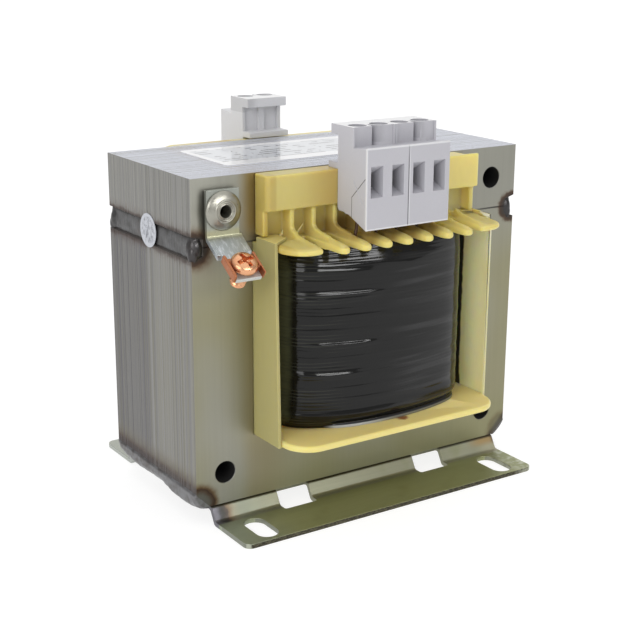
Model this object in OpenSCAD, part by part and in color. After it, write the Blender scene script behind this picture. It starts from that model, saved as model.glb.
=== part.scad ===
// Open-frame mains transformer: welded EI core on two joggled foot rails,
// one-piece bobbin with comb flanges, screw terminals front and rear.
// Millimetres, +Z up. The mounting plane is z = 0, the core is centred on x and y.

/* [Core] */
// Width of the laminations
core_w = 96; // [95:0.5:97]
// Thickness of the lamination stack, front to rear
stack_d = 43; // [41:1:48]
// Width of the outer legs and height of the yokes
leg_w = 16; // [15.5:0.25:16]
// Height of the winding windows
win_h = 48; // [48:0.5:50]
// Diameter of the four holes through the stack
hole_d = 5.5; // [4.5:0.1:5.8]
// Distance of the holes from the two edges beside them
hole_inset = 8; // [7.5:0.1:8.5]
// Width of the bottom corner chamfers that take the base welds
corner_cut = 3.6; // [3:0.1:4]

/* [Feet] */
// Length of each foot rail
foot_len = 88; // [84:1:88]
// Sheet thickness of the rails
foot_t = 1.2; // [1:0.1:1.5]
// Height of the core above the mounting plane
foot_h = 4.6; // [4.2:0.1:5.5]
// Reach of each rail in front of the core
foot_out = 17; // [16:0.5:20]
// Reach of each rail under the core
foot_under = 14; // [8:1:18]
// Width of the mounting slots
slot_w = 5.5; // [4.5:0.1:6]
// Length of the mounting slots, end to end
slot_l = 11; // [9:0.5:12]
// Distance between the slots of one rail
slot_pitch = 72.5; // [70:0.5:74]
// Distance of the slot centres from the core face
slot_y = 10.2; // [9.6:0.1:10.6]
// Width of the windows in the bend of the rail
notch_w = 9.3; // [8:0.1:11]
// Distance of those windows from the middle
notch_x = 21; // [18:0.5:23]

/* [Bobbin] */
// Wall thickness of the bobbin tube
tube_t = 1.4; // [1.2:0.1:1.6]
// Thickness of the flanges
flange_t = 1.6; // [1.4:0.1:1.8]
// Reach of the flanges in front of the core
flange_out = 18.4; // [17.8:0.1:19]
// Corner radius of the flanges
flange_r = 7; // [6:0.5:9]
// Pitch of the comb fingers
comb_pitch = 6; // [5.9:0.05:6]
// Width of one comb finger
finger_w = 3; // [2.4:0.1:3.2]
// Thickness of the ribs on the fingers
rib_t = 1.2; // [1:0.1:1.4]
// Half length of the terminal carrier
strip_x = 31.3; // [31:0.1:31.4]
// Reach of the terminal carrier in front of the core
strip_y = 5.6; // [5.4:0.1:5.6]

/* [Winding] */
// Build-up of the primary winding
pri_t = 5.4; // [4.5:0.1:5.6]
// Thickness of the insulation between the windings
ins_t = 0.5; // [0.3:0.1:0.7]
// Build-up of the secondary winding
sec_t = 5; // [4.5:0.1:5.7]
// Thickness of the outer wrap
wrap_t = 0.6; // [0.4:0.1:0.8]

/* [Terminals] */
// Pitch of the terminal poles
pole_pitch = 6; // [5.9:0.05:6]
// Width of a wire entry
entry_w = 3.4; // [3:0.1:3.6]
// Height of a wire entry
entry_h = 7.2; // [6.6:0.1:7.4]
// Diameter of the screwdriver holes
driver_d = 4.3; // [4.2:0.05:4.5]

/* [Earth] */
// Width of the earth tab
tab_w = 9; // [8.8:0.1:9.4]
// Sheet thickness of the earth tab
tab_t = 1; // [0.8:0.1:1.2]
// Slope of the tab's tongue below the horizontal
tab_slope = 34; // [31:1:37]
// Diameter of the rivet head
rivet_d = 9.2; // [8.6:0.1:9.4]

/* [Hidden] */
$fn = 64;
e = 0.01;

half_w = core_w / 2;
core_h = win_h + 2 * leg_w;          // height of E and I together
seam_z = leg_w + win_h;              // joint between E and I
win_in = leg_w;                      // window edges on x
win_out = half_w - leg_w;
hole_x = half_w - hole_inset;
hole_lo = hole_inset;
hole_hi = core_h - hole_inset;

// Everything below is drawn with the core's front face at y = 0 and its
// bottom at z = 0, then set on the mounting plane by place().
module place() translate([0, -stack_d / 2, foot_h]) children();
// Turns a front piece round to the rear side.
module rear() translate([0, stack_d, 0]) rotate([0, 0, 180]) children();
module both() { children(); rear() children(); }

// Outline in x and z, drawn through y from y0 to y1.
module slab_xz(y0, y1) translate([0, y1, 0]) rotate([90, 0, 0]) linear_extrude(y1 - y0) children();
// Outline in y and z, drawn through x from x0 to x1.
module slab_yz(x0, x1) translate([x0, 0, 0]) rotate([90, 0, 90]) linear_extrude(x1 - x0) children();
// Outline in x and y, drawn through z from z0 to z1.
module slab_xy(z0, z1) translate([0, 0, z0]) linear_extrude(z1 - z0) children();
module box(a, b) translate(a) cube(b - a);

// Rectangle with round corners, from a to b.
module round_rect(a, b, r) {
    translate([a.x + r, a.y]) square([b.x - a.x - 2 * r, b.y - a.y]);
    translate([a.x, a.y + r]) square([b.x - a.x, b.y - a.y - 2 * r]);
    for (x = [a.x + r, b.x - r], y = [a.y + r, b.y - r]) translate([x, y]) circle(r);
}

// ---------------------------------------------------------------- core
groove_lo = seam_z - 2.9;
groove_hi = seam_z + 2.7;
groove_t = 1.3;
pool_r = 3.1;                        // melted pool at the ends of a seam weld

// Shallow weld groove along the joint on one side, s = -1 left, 1 right.
module seam_groove(s) {
    slab_xz(-e, stack_d + e) polygon([[s * (half_w + 1), groove_lo - 0.7], [s * (half_w + 1), groove_hi + 0.7],
        [s * half_w, groove_hi], [s * (half_w - groove_t), groove_hi - 0.9],
        [s * (half_w - groove_t), groove_lo + 0.9], [s * half_w, groove_lo]]);
    slab_xy(groove_lo, groove_hi) both_ends() pool_side(s);
}
module both_ends() { children(); translate([0, stack_d]) mirror([0, 1]) children(); }
// Corner of the core that melts away at the end of a seam weld, in plan.
module pool_side(s) polygon([[s * (half_w + 3), -3], [s * (half_w - pool_r), -3], [s * (half_w - pool_r), 0],
    [s * half_w, pool_r], [s * (half_w + 3), pool_r]]);
// Rounded pool of weld metal that fills that corner.
module seam_pools(s) slab_xy(groove_lo + 0.15, groove_hi - 0.15) both_ends() intersection() {
    pool_side(s);
    translate([s * (half_w - 2.3), 2.3]) circle(2.75);
}

module e_core_stack() color([0.47, 0.47, 0.42]) place() difference() {
    slab_xz(0, stack_d) difference() {
        polygon([[-half_w + corner_cut, 0], [half_w - corner_cut, 0], [half_w, corner_cut], [half_w, seam_z],
            [-half_w, seam_z], [-half_w, corner_cut]]);
        for (s = [-1, 1]) translate([s * (win_in + win_out) / 2, leg_w + win_h / 2 + 1])
            square([win_out - win_in, win_h + 2], center = true);
        for (s = [-1, 1]) translate([s * hole_x, hole_lo]) circle(d = hole_d);
    }
    for (s = [-1, 1]) seam_groove(s);
}

module i_core_stack() color([0.52, 0.52, 0.48]) place() difference() {
    slab_xz(0, stack_d) difference() {
        translate([-half_w, seam_z]) square([core_w, leg_w]);
        for (s = [-1, 1]) translate([s * hole_x, hole_hi]) circle(d = hole_d);
    }
    for (s = [-1, 1]) seam_groove(s);
}

// Weld bead lying in the groove, with its melted pools at both corners.
module weld_seam(s) color([0.33, 0.33, 0.34]) place() {
    slab_xz(0.05, stack_d - 0.05) polygon([[s * (half_w - groove_t), groove_lo + 0.9], [s * (half_w - groove_t), groove_hi - 0.9],
        [s * (half_w - 0.75), groove_hi - 0.85], [s * (half_w - 0.45), seam_z + 0.9],
        [s * (half_w - 0.4), seam_z - 0.1], [s * (half_w - 0.45), seam_z - 1.1],
        [s * (half_w - 0.75), groove_lo + 0.85]]);
    seam_pools(s);
}
module weld_seam_left() weld_seam(-1);
module weld_seam_right() weld_seam(1);

// Bead that joins the chamfered bottom corner to the ends of both rails.
module weld_base(s) color([0.55, 0.55, 0.55]) place() difference() {
    slab_xz(0.2, stack_d - 0.2) polygon([[s * (half_w - corner_cut), 0], [s * half_w, corner_cut],
        [s * (half_w + 0.3), corner_cut + 0.5], [s * (half_w + 0.35), corner_cut - 1.2], [s * (half_w - 0.3), corner_cut - 3],
        [s * (half_w - 1.6), corner_cut - 4.3], [s * (half_w - 3), -foot_t], [s * foot_len / 2, -foot_t], [s * foot_len / 2, 0]]);
    // the bead stays clear of the side face above the chamfer
    box([-half_w, 0, corner_cut], [half_w, stack_d, corner_cut + 4]);
}
module weld_base_left() weld_base(-1);
module weld_base_right() weld_base(1);

// ---------------------------------------------------------------- feet
web_run = 2;                         // how far the web slopes outward
web_drop = foot_h - foot_t;
web_len = norm([web_run, web_drop]);
// Upper and lower face of the sloping web, one sheet thickness apart.
function web_top(z) = z * web_run / web_drop;
function web_low(z) = (z + foot_t * web_run / web_len) * web_run / web_drop + foot_t * web_drop / web_len;
module foot_outline() {
    z1 = -foot_h; z2 = -foot_h + foot_t;
    polygon([[foot_under, 0], [foot_under, -foot_t], [web_low(-foot_t) + 0.3, -foot_t], [web_low(-foot_t - 0.25), -foot_t - 0.25],
        [web_low(z1 + 0.3), z1 + 0.3], [web_low(z1) - 0.5, z1], [-foot_out, z1], [-foot_out, z2],
        [web_top(z2) - 0.35, z2], [web_top(z2 + 0.25), z2 + 0.25], [web_top(-0.3), -0.3], [0.4, 0]]);
}
module foot_rail() color([0.50, 0.50, 0.40]) difference() {
    intersection() {
        slab_yz(-foot_len / 2, foot_len / 2) foot_outline();
        // plan of the rail, outer corners rounded
        slab_xy(-foot_h - 1, 1) {
            round_rect([-foot_len / 2, -foot_out], [foot_len / 2, 0], 2);
            translate([-foot_len / 2, -4]) square([foot_len, foot_under + 4]);
        }
    }
    for (s = [-1, 1]) {
        // mounting slot
        translate([s * slot_pitch / 2, -slot_y, 0]) slab_xy(-foot_h - 1, 0) {
            square([slot_w, slot_l - slot_w], center = true);
            for (t = [-1, 1]) translate([0, t * (slot_l - slot_w) / 2]) circle(d = slot_w);
        }
        // window in the bend
        translate([s * notch_x, 0, 0]) slab_xy(-foot_h - 1, 1) round_rect([-notch_w / 2, -4.4], [notch_w / 2, 1.2], 0.6);
    }
}
module front_foot_rail() place() foot_rail();
module rear_foot_rail() place() rear() foot_rail();

// ---------------------------------------------------------------- bobbin
leg_gap = 0.25;
tube_x = win_in + leg_gap;           // inside of the tube
tube_ox = tube_x + tube_t;           // outside of the tube
fl_x = win_out - 1.1;                // half width of the flanges
lo_z0 = leg_w;
lo_z1 = lo_z0 + flange_t;
up_z0 = seam_z - 1.4;
up_zi = seam_z - 0.15;               // top of the upper flange under the yoke
up_z1 = seam_z + 0.45;               // top of the upper flange outside the core
ear_z = seam_z + 1.5;
strip_z0 = seam_z + 7.6;
strip_z1 = core_h - 0.15;
finger_y = -flange_out - 0.5;
// front of the wide corners of the comb, left and right
function corner_y(s) = -flange_out + (s > 0 ? 1 : 1.8);

module leg_hole(g) translate([-tube_x, -leg_gap - g]) square([2 * tube_x, stack_d + 2 * leg_gap + 2 * g]);

// Upper flange in front of the core: back edge, comb fingers, wide corners.
module comb_plan() {
    translate([-fl_x, -3.4]) square([2 * fl_x, 3]);
    for (k = [-3:3]) translate([k * comb_pitch, 0]) {
        translate([-finger_w / 2, finger_y + finger_w / 2]) square([finger_w, -finger_y - finger_w / 2 - 1]);
        translate([0, finger_y + finger_w / 2]) circle(d = finger_w);
    }
    for (s = [-1, 1]) difference() {
        round_rect([-fl_x, corner_y(s)], [fl_x, 30], s > 0 ? flange_r - 2.5 : flange_r - 1);
        translate([-fl_x - 1, -0.4]) square([2 * fl_x + 2, 40]);
        translate([s > 0 ? -fl_x - 1 : -4 * comb_pitch + finger_w / 2, -30]) square([fl_x + 1 + 4 * comb_pitch - finger_w / 2, 40]);
    }
}

// Rib that runs down from the carrier and out along a finger.
module comb_rib(x, out) slab_yz(x - rib_t / 2, x + rib_t / 2)
    polygon([[-0.6, up_z0], [-0.6, strip_z0 + 0.4], [-4.9, strip_z0 + 0.4], [-4.9, seam_z + 3.3],
        [-5.3, seam_z + 2.7], [-6.3, seam_z + 2.3], [out + 5.8, seam_z + 1.5], [out + 1.7, seam_z + 1.1],
        [out + 0.6, seam_z + 0.8], [out, seam_z + 0.1], [out, up_z0]]);

module comb_side() {
    slab_xy(up_z0, up_z1) comb_plan();
    for (k = [-4:4]) comb_rib(k * comb_pitch, abs(k) < 4 ? finger_y + 0.6 : corner_y(k) + 0.6);
    // wall behind the ribs
    box([-29.9, -1.4, up_z0], [29.9, -0.6, strip_z0 + 0.4]);
    // terminal carrier
    slab_xy(strip_z0, strip_z1) intersection() {
        round_rect([-strip_x, -strip_y], [strip_x, 4], 1.2);
        translate([-strip_x - 1, -strip_y - 1]) square([2 * strip_x + 2, strip_y + 0.85]);
    }
    // end walls
    box([-strip_x, -3.9, ear_z], [-strip_x + 1.3, -0.15, strip_z0 + 0.4]);
    box([strip_x - 2.6, -4.9, ear_z], [strip_x - 1.3, -0.6, strip_z0 + 0.4]);
}

module bobbin() color([0.86, 0.78, 0.47]) place() {
    // tube round the centre leg
    slab_xy(lo_z0, up_zi) difference() {
        tube_ring(0);
        leg_hole(0);
    }
    // lower flange
    slab_xy(lo_z0, lo_z1) difference() {
        round_rect([-fl_x, -flange_out], [fl_x, stack_d + flange_out], flange_r);
        leg_hole(0);
    }
    // upper flange inside the windows
    slab_xy(up_z0, up_zi) difference() {
        translate([-fl_x, -0.5]) square([2 * fl_x, stack_d + 1]);
        leg_hole(0.3);
    }
    both() comb_side();
}

// Folded insulating sheet between the winding and an outer leg.
module shield(s) {
    x0 = s * (win_out - 0.95); x1 = s * (win_out - 0.15);
    xa = min(x0, x1); xb = max(x0, x1);
    color([0.85, 0.80, 0.55]) place() {
        // the front edge of the left sheet leans back a little
        lo = s > 0 ? -10.4 : -11.3; hi = s > 0 ? -10.4 : -9.8;
        slab_yz(xa, xb) polygon([[lo, lo_z0], [stack_d + 10.4, lo_z0], [stack_d + 10.4, seam_z + 1.25],
            [stack_d + 1.5, seam_z + 1.25], [stack_d + 1.5, seam_z - 0.15], [-1.5, seam_z - 0.15],
            [-1.5, seam_z + 1.25], [hi, seam_z + 1.25]]);
        // flaps folded in over the upper flange, mitred
        for (m = [0, 1]) translate([0, m * stack_d, 0]) mirror([0, m, 0])
            slab_xy(seam_z + 0.45, seam_z + 1.25)
                polygon([[s * (win_out - 0.5), -9.8], [s * (win_out - 5.7), -5.8], [s * (win_out - 5.7), -1.5], [s * (win_out - 0.5), -1.5]]);
    }
}
module left_winding_shield() shield(-1);
module right_winding_shield() shield(1);

// ---------------------------------------------------------------- windings
core_r = 0.6;
// One layer round the tube, from g0 to g1 outside of it.
module layer(g0, g1, z0, z1) slab_xy(z0, z1) difference() {
    tube_ring(g1);
    tube_ring(g0);
}
// The turns bow out in front and at the rear and pull tight at the sides, more so outward.
module tube_ring(g) intersection() {
    ring_x = tube_ox + 0.865 * g;
    ring_y = leg_gap + tube_t + g;
    bow = 0.465 * g + e;
    bow_r = (ring_x * ring_x + bow * bow) / (2 * bow);
    round_rect([-ring_x, -ring_y], [ring_x, stack_d + ring_y], 1.1 * g + core_r);
    if (g > 0) translate([0, bow_r - ring_y]) circle(bow_r);
    if (g > 0) translate([0, stack_d + ring_y - bow_r]) circle(bow_r);
}
w0 = 0;
w1 = w0 + pri_t;
w2 = w1 + ins_t;
w3 = w2 + sec_t;
w4 = w3 + wrap_t;
wz0 = lo_z1 + 0.4;
wz1 = up_z0 - 0.4;
module primary_winding() color([0.72, 0.38, 0.18]) place() layer(w0, w1, wz0, wz1);
module winding_insulation() color([0.85, 0.75, 0.45]) place() layer(w1, w2, wz0 - 0.3, wz1 + 0.3);
module secondary_winding() color([0.76, 0.42, 0.20]) place() layer(w2, w3, wz0, wz1);
module outer_wrap() color([0.07, 0.07, 0.08]) place() layer(w3, w4, wz0 - 0.35, wz1 + 0.35);

// ---------------------------------------------------------------- terminals
term_front = -17.2;
term_back = -strip_y;
term_z0 = core_h - 12.9;
term_ledge = core_h + 6;
term_top = core_h + 10.2;
tower_y = -11.8;                     // front of the screw towers
lip_h = 2.4;                         // height of the lip along the top
entry_z = core_h - 5.4;              // lower edge of a wire entry
pole_y = -9;                         // screw axis
cage_w = 4.6;
cage_z0 = core_h - 7.2;
cage_z1 = core_h + 2.9;
cage_y0 = -11.6;
cage_y1 = -7;
tail_y = -9.6;

// Housing of one two-pole module, centred on x = xc.
module terminal(xc) color([0.76, 0.76, 0.77]) translate([xc, 0, 0]) difference() {
    slab_yz(-pole_pitch + 0.02, pole_pitch - 0.02)
        polygon([[term_front, term_z0], [-16.9, term_z0], [-10.1, term_z0 + 2.7], [-8.8, term_z0 + 2.7],
            [-8.4, term_z0 + 3], [term_back - 0.5, term_z0 + 3], [term_back, term_z0 + 3.8], [term_back, strip_z1], [-1.7, strip_z1],
            [-1.7, strip_z1 + 1.5], [term_back, strip_z1 + 1.5], [term_back, term_top - lip_h], [-2.7, term_top - lip_h],
            [-2.7, term_top], [tower_y, term_top], [tower_y, term_ledge - 0.5], [term_front, term_ledge + 0.1]]);
    for (s = [-1, 1]) translate([s * pole_pitch / 2, 0, 0]) {
        // wire entry
        box([-entry_w / 2, term_front - 1, entry_z], [entry_w / 2, cage_y0 + 0.1, entry_z + entry_h]);
        // chamber of the clamp cage
        box([-cage_w / 2, cage_y0, cage_z0], [cage_w / 2, cage_y1, cage_z1]);
        // screwdriver hole
        translate([0, pole_y, cage_z1 - 0.1]) cylinder(d = driver_d, h = 20);
        // slot for the contact tail
        box([-1.2, tail_y - 0.4, term_z0 - 1], [1.2, tail_y + 0.4, cage_z0 + 0.1]);
        // moulding recess behind the pole
        box([-2, term_back - 0.8, strip_z1 + 1.5], [2.1, 0, term_top - lip_h]);
    }
    // the towers stand a little behind the edges of the side walls
    box([-pole_pitch + 0.6, tower_y - 0.6, term_ledge - 0.4], [pole_pitch - 0.6, tower_y + 0.4, term_top + 1]);
    // gap between the two screw towers, with the round flank of one boss in it
    slab_xy(term_ledge - 0.4, term_top + 1) difference() {
        translate([-0.5, tower_y - 0.6]) square([pole_pitch / 2 + 0.5, pole_y - tower_y + 0.6]);
        translate([pole_pitch / 2, pole_y]) circle(2.6);
    }
    // fine grooves in the side of the housing
    for (s = [-1, 1]) translate([s * (pole_pitch - 0.02), -14.1, core_h - 4.6]) rotate([-37.5, 0, 0])
        cube([0.24, 0.3, 6.4], center = true);
}
module front_terminal_left() place() terminal(-pole_pitch);
module front_terminal_right() place() terminal(pole_pitch);
module rear_terminal() place() rear() terminal(0);

// Positions of the poles in a row of n poles.
function poles(n) = [for (i = [0:n - 1]) (i - (n - 1) / 2) * pole_pitch];

module clamp_screws(n) color([0.72, 0.72, 0.70]) for (x = poles(n)) translate([x, pole_y, 0]) difference() {
    union() {
        translate([0, 0, cage_z1 - 5]) cylinder(d = 2.9, h = 8.4);
        translate([0, 0, cage_z1 + 2.6]) cylinder(d = 4, h = 2);
    }
    box([-2.5, -0.35, cage_z1 + 3.6], [2.5, 0.35, cage_z1 + 6]);
}
module front_clamp_screws() place() clamp_screws(4);
module rear_clamp_screws() place() rear() clamp_screws(2);

module clamp_cages(n) color([0.78, 0.68, 0.40]) for (x = poles(n)) translate([x, 0, 0]) difference() {
    box([-cage_w / 2 + 0.1, cage_y0 + 0.1, cage_z0 + 0.9], [cage_w / 2 - 0.1, cage_y1 - 0.1, cage_z1 - 0.1]);
    box([-1.5, cage_y0 - 1, cage_z0 + 1.9], [1.5, cage_y1 + 1, cage_z1 - 2.1]);
    translate([0, pole_y, cage_z1 - 3]) cylinder(d = 2.9, h = 4);
    // way for the tail
    box([-1.25, tail_y - 0.35, cage_z0], [1.25, tail_y + 0.35, cage_z0 + 2]);
}
module front_clamp_cages() place() clamp_cages(4);
module rear_clamp_cages() place() rear() clamp_cages(2);

tail_end = seam_z + 2.4;
module contact_tails(n) color([0.80, 0.78, 0.74]) for (x = poles(n)) translate([x, 0, 0]) {
    // bar under the clamped wire
    box([-1.2, cage_y0 + 0.3, cage_z0 + 1.9], [1.2, cage_y1 - 0.3, cage_z0 + 2.5]);
    // tail down through the housing
    box([-1.2, tail_y - 0.3, tail_end], [1.2, tail_y + 0.3, cage_z0 + 2.1]);
}
module front_contact_tails() place() contact_tails(4);
module rear_contact_tails() place() rear() contact_tails(2);

// Round wire between two points.
module wire(a, b, d) {
    v = b - a; l = norm(v);
    translate(a) rotate([0, acos(v.z / l), atan2(v.y, v.x)]) cylinder(d = d, h = l);
}
lead_d = 1.2;
module secondary_leads() color([0.75, 0.42, 0.20]) place()
    for (x = poles(4)) wire([x, tail_y, wz1], [x, tail_y, tail_end], lead_d);

// The inner winding's ends reach back to the tails above the outer winding.
module primary_leads() color([0.75, 0.42, 0.20]) place() rear() for (x = poles(2)) {
    y1 = -leg_gap - tube_t - w1 + 2.4;
    z1 = seam_z + 1.1;
    wire([x, y1, wz1], [x, y1, z1 + 0.6], lead_d);
    wire([x, y1, z1], [x, tail_y, z1], lead_d - 0.1);
    wire([x, tail_y, z1 - 0.6], [x, tail_y, tail_end], lead_d);
}

// ---------------------------------------------------------------- earth point
tab_gap = 0.8;                       // stand-off of the tab from the core
bend_z = seam_z + 2.5;
tab_x = -hole_x - 0.3;               // middle of the tab, a little outside of its rivet
tongue_w = 6.6;
tongue_l = 13.9;
neck_l = 5.4;                         // where the tab narrows, from the bend
screw_s = 10.3;                      // screw position along the tongue
// Point at distance s out along the tongue's top face.
function tongue_y(s) = -tab_gap - tab_t - s * cos(tab_slope);
function tongue_z(s) = bend_z - s * sin(tab_slope);

module earth_tab() color([0.72, 0.72, 0.68]) place() {
    ty = -tab_gap - tab_t;
    nx = sin(tab_slope); nz = cos(tab_slope);
    difference() {
        slab_yz(tab_x - tab_w / 2, tab_x + tab_w / 2)
            polygon([[ty, core_h - 2.7], [ty, bend_z + 0.6], [ty - 0.12, bend_z + 0.2], [tongue_y(0.5), tongue_z(0.5)],
                [tongue_y(tongue_l), tongue_z(tongue_l)],
                [tongue_y(tongue_l) + nx * tab_t, tongue_z(tongue_l) - nz * tab_t],
                [ty + 0.1 + nx * tab_t, bend_z - nz * tab_t - 0.05], [ty + 0.8, bend_z - 0.45], [ty + tab_t, bend_z + 0.3], [ty + tab_t, core_h - 2.7]]);
        // the tongue is narrower than the tab
        for (s = [-1, 1]) box([tab_x + s * (tongue_w / 2 + 5) - 5, -40, tongue_z(neck_l) - 20], [tab_x + s * (tongue_w / 2 + 5) + 5, tongue_y(neck_l), tongue_z(neck_l) + 1.5]);
        translate([-hole_x, 5, hole_hi]) rotate([90, 0, 0]) cylinder(d = 5, h = 20);
        translate([tab_x, tongue_y(screw_s), tongue_z(screw_s)]) rotate([tab_slope, 0, 0]) translate([0, 0, -6]) cylinder(d = 3.9, h = 12);
    }
    // pressed boss that the tab stands on
    translate([-hole_x, 0, hole_hi]) rotate([90, 0, 0]) difference() {
        cylinder(d = 8, h = tab_gap + 0.2);
        translate([0, 0, -1]) cylinder(d = 5.5, h = 5);
    }
}

// Hollow rivet, spread inside the core's hole.
module earth_rivet() color([0.80, 0.80, 0.78]) place() translate([-hole_x, 0, hole_hi]) rotate([90, 0, 0])
    rotate_extrude() polygon([[1.35, -14], [hole_d / 2, -14], [hole_d / 2, -2], [2.4, -1.2], [2.4, tab_gap + tab_t],
        [rivet_d / 2, tab_gap + tab_t], [rivet_d / 2, tab_gap + tab_t + 0.35], [rivet_d / 2 - 0.9, tab_gap + tab_t + 0.95],
        [2.5, tab_gap + tab_t + 1.3], [2.1, tab_gap + tab_t + 1.6], [1.6, tab_gap + tab_t + 1.6], [1.35, tab_gap + tab_t + 1.3]]);

saddle_t = 0.7;
module earth_saddle() color([0.80, 0.48, 0.30]) place()
    translate([tab_x, tongue_y(screw_s), tongue_z(screw_s)]) rotate([tab_slope, 0, 0]) difference() {
        slab_xz(-3.6, 2.9) polygon([[-4.2, 0], [4.2, 0], [4.3, 2.1], [3.6, 2.1], [3.5, saddle_t], [-3.5, saddle_t], [-3.6, 2.1], [-4.3, 2.1]]);
        translate([0, 0, -1]) cylinder(d = 4.3, h = 5);
        // the plate stops short of its upturned sides
        box([-3.5, -6, -1], [3.5, -2.5, 4]);
    }

module earth_screw() color([0.82, 0.50, 0.30]) place()
    translate([tab_x, tongue_y(screw_s), tongue_z(screw_s)]) rotate([tab_slope, 0, 0]) difference() {
        rotate_extrude() polygon([[0, -5.8], [1.5, -5.8], [1.95, -5.3], [1.95, saddle_t], [2.9, saddle_t], [3.4, saddle_t + 0.5], [3.4, saddle_t + 1.1],
            [3, saddle_t + 1.8], [2, saddle_t + 2.25], [0, saddle_t + 2.4]]);
        box([-5, -0.45, saddle_t + 1.3], [5, 0.45, saddle_t + 5]);
    }

// ---------------------------------------------------------------- labels
module rating_label() color([0.93, 0.93, 0.95]) place()
    slab_xy(core_h, core_h + 0.15) round_rect([-32.5, 10.5], [32.5, stack_d - 8], 1.5);

module round_sticker() color([0.90, 0.90, 0.90]) place()
    translate([-half_w, stack_d / 2 - 0.5, seam_z + 0.5]) rotate([0, -90, 0]) cylinder(d = 8.4, h = 0.15);

e_core_stack();
i_core_stack();
weld_seam_left();
weld_seam_right();
weld_base_left();
weld_base_right();
front_foot_rail();
rear_foot_rail();
bobbin();
left_winding_shield();
right_winding_shield();
primary_winding();
winding_insulation();
secondary_winding();
outer_wrap();
front_terminal_left();
front_terminal_right();
rear_terminal();
front_clamp_screws();
rear_clamp_screws();
front_clamp_cages();
rear_clamp_cages();
front_contact_tails();
rear_contact_tails();
secondary_leads();
primary_leads();
earth_tab();
earth_rivet();
earth_screw();
earth_saddle();
rating_label();
round_sticker();
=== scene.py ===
"""Looks of an open-frame mains transformer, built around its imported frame."""
import math

import bmesh
import bpy
from mathutils import Matrix, Vector, noise


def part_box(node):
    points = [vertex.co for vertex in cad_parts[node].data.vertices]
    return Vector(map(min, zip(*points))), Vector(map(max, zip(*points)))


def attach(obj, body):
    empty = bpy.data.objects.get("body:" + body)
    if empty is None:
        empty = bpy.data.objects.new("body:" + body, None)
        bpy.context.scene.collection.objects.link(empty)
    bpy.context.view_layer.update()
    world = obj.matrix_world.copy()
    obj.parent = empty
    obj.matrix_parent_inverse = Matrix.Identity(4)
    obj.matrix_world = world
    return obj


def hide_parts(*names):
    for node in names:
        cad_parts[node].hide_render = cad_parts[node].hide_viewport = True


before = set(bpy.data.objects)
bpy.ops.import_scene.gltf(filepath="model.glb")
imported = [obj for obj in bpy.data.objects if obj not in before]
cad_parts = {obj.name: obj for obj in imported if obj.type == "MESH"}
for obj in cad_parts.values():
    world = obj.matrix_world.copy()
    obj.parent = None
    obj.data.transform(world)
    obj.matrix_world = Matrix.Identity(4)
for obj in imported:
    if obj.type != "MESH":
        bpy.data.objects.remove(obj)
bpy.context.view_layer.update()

MM = 0.001
DY, DZ = -21.5, 4.6          # drawing frame of the core to the part's frame, mm
STACK = 43.0


def P(x, y, z):
    """Point of the core's drawing frame (mm) in the part's frame (m)."""
    return Vector((x * MM, (y + DY) * MM, (z + DZ) * MM))


def lin(r, g, b):
    def f(c):
        c /= 255.0
        return c / 12.92 if c <= 0.04045 else ((c + 0.055) / 1.055) ** 2.4
    return (f(r), f(g), f(b), 1.0)


def sstep(a, b, x):
    t = min(1.0, max(0.0, (x - a) / (b - a)))
    return t * t * (3 - 2 * t)


def interp(table, x):
    """Smooth value at x in a sorted list of (x, value)."""
    if x <= table[0][0]:
        return table[0][1]
    for (x0, v0), (x1, v1) in zip(table, table[1:]):
        if x <= x1:
            return v0 + (v1 - v0) * sstep(x0, x1, x)
    return table[-1][1]


def nz(x, y=0.0, z=0.0):
    return noise.noise(Vector((x, y, z)))


# ------------------------------------------------------------------ materials
SOCKETS = {
    "base": "Base Color", "rough": "Roughness", "metal": "Metallic", "ior": "IOR", "spec": "Specular IOR Level",
    "sss": "Subsurface Weight", "sss_radius": "Subsurface Radius", "sss_scale": "Subsurface Scale",
    "coat": "Coat Weight", "coat_rough": "Coat Roughness", "normal": "Normal", "aniso": "Anisotropic", "sheen": "Sheen Weight",
    "coat_normal": "Coat Normal", "tint": "Specular Tint", "transmission": "Transmission Weight", "alpha": "Alpha",
}


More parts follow.
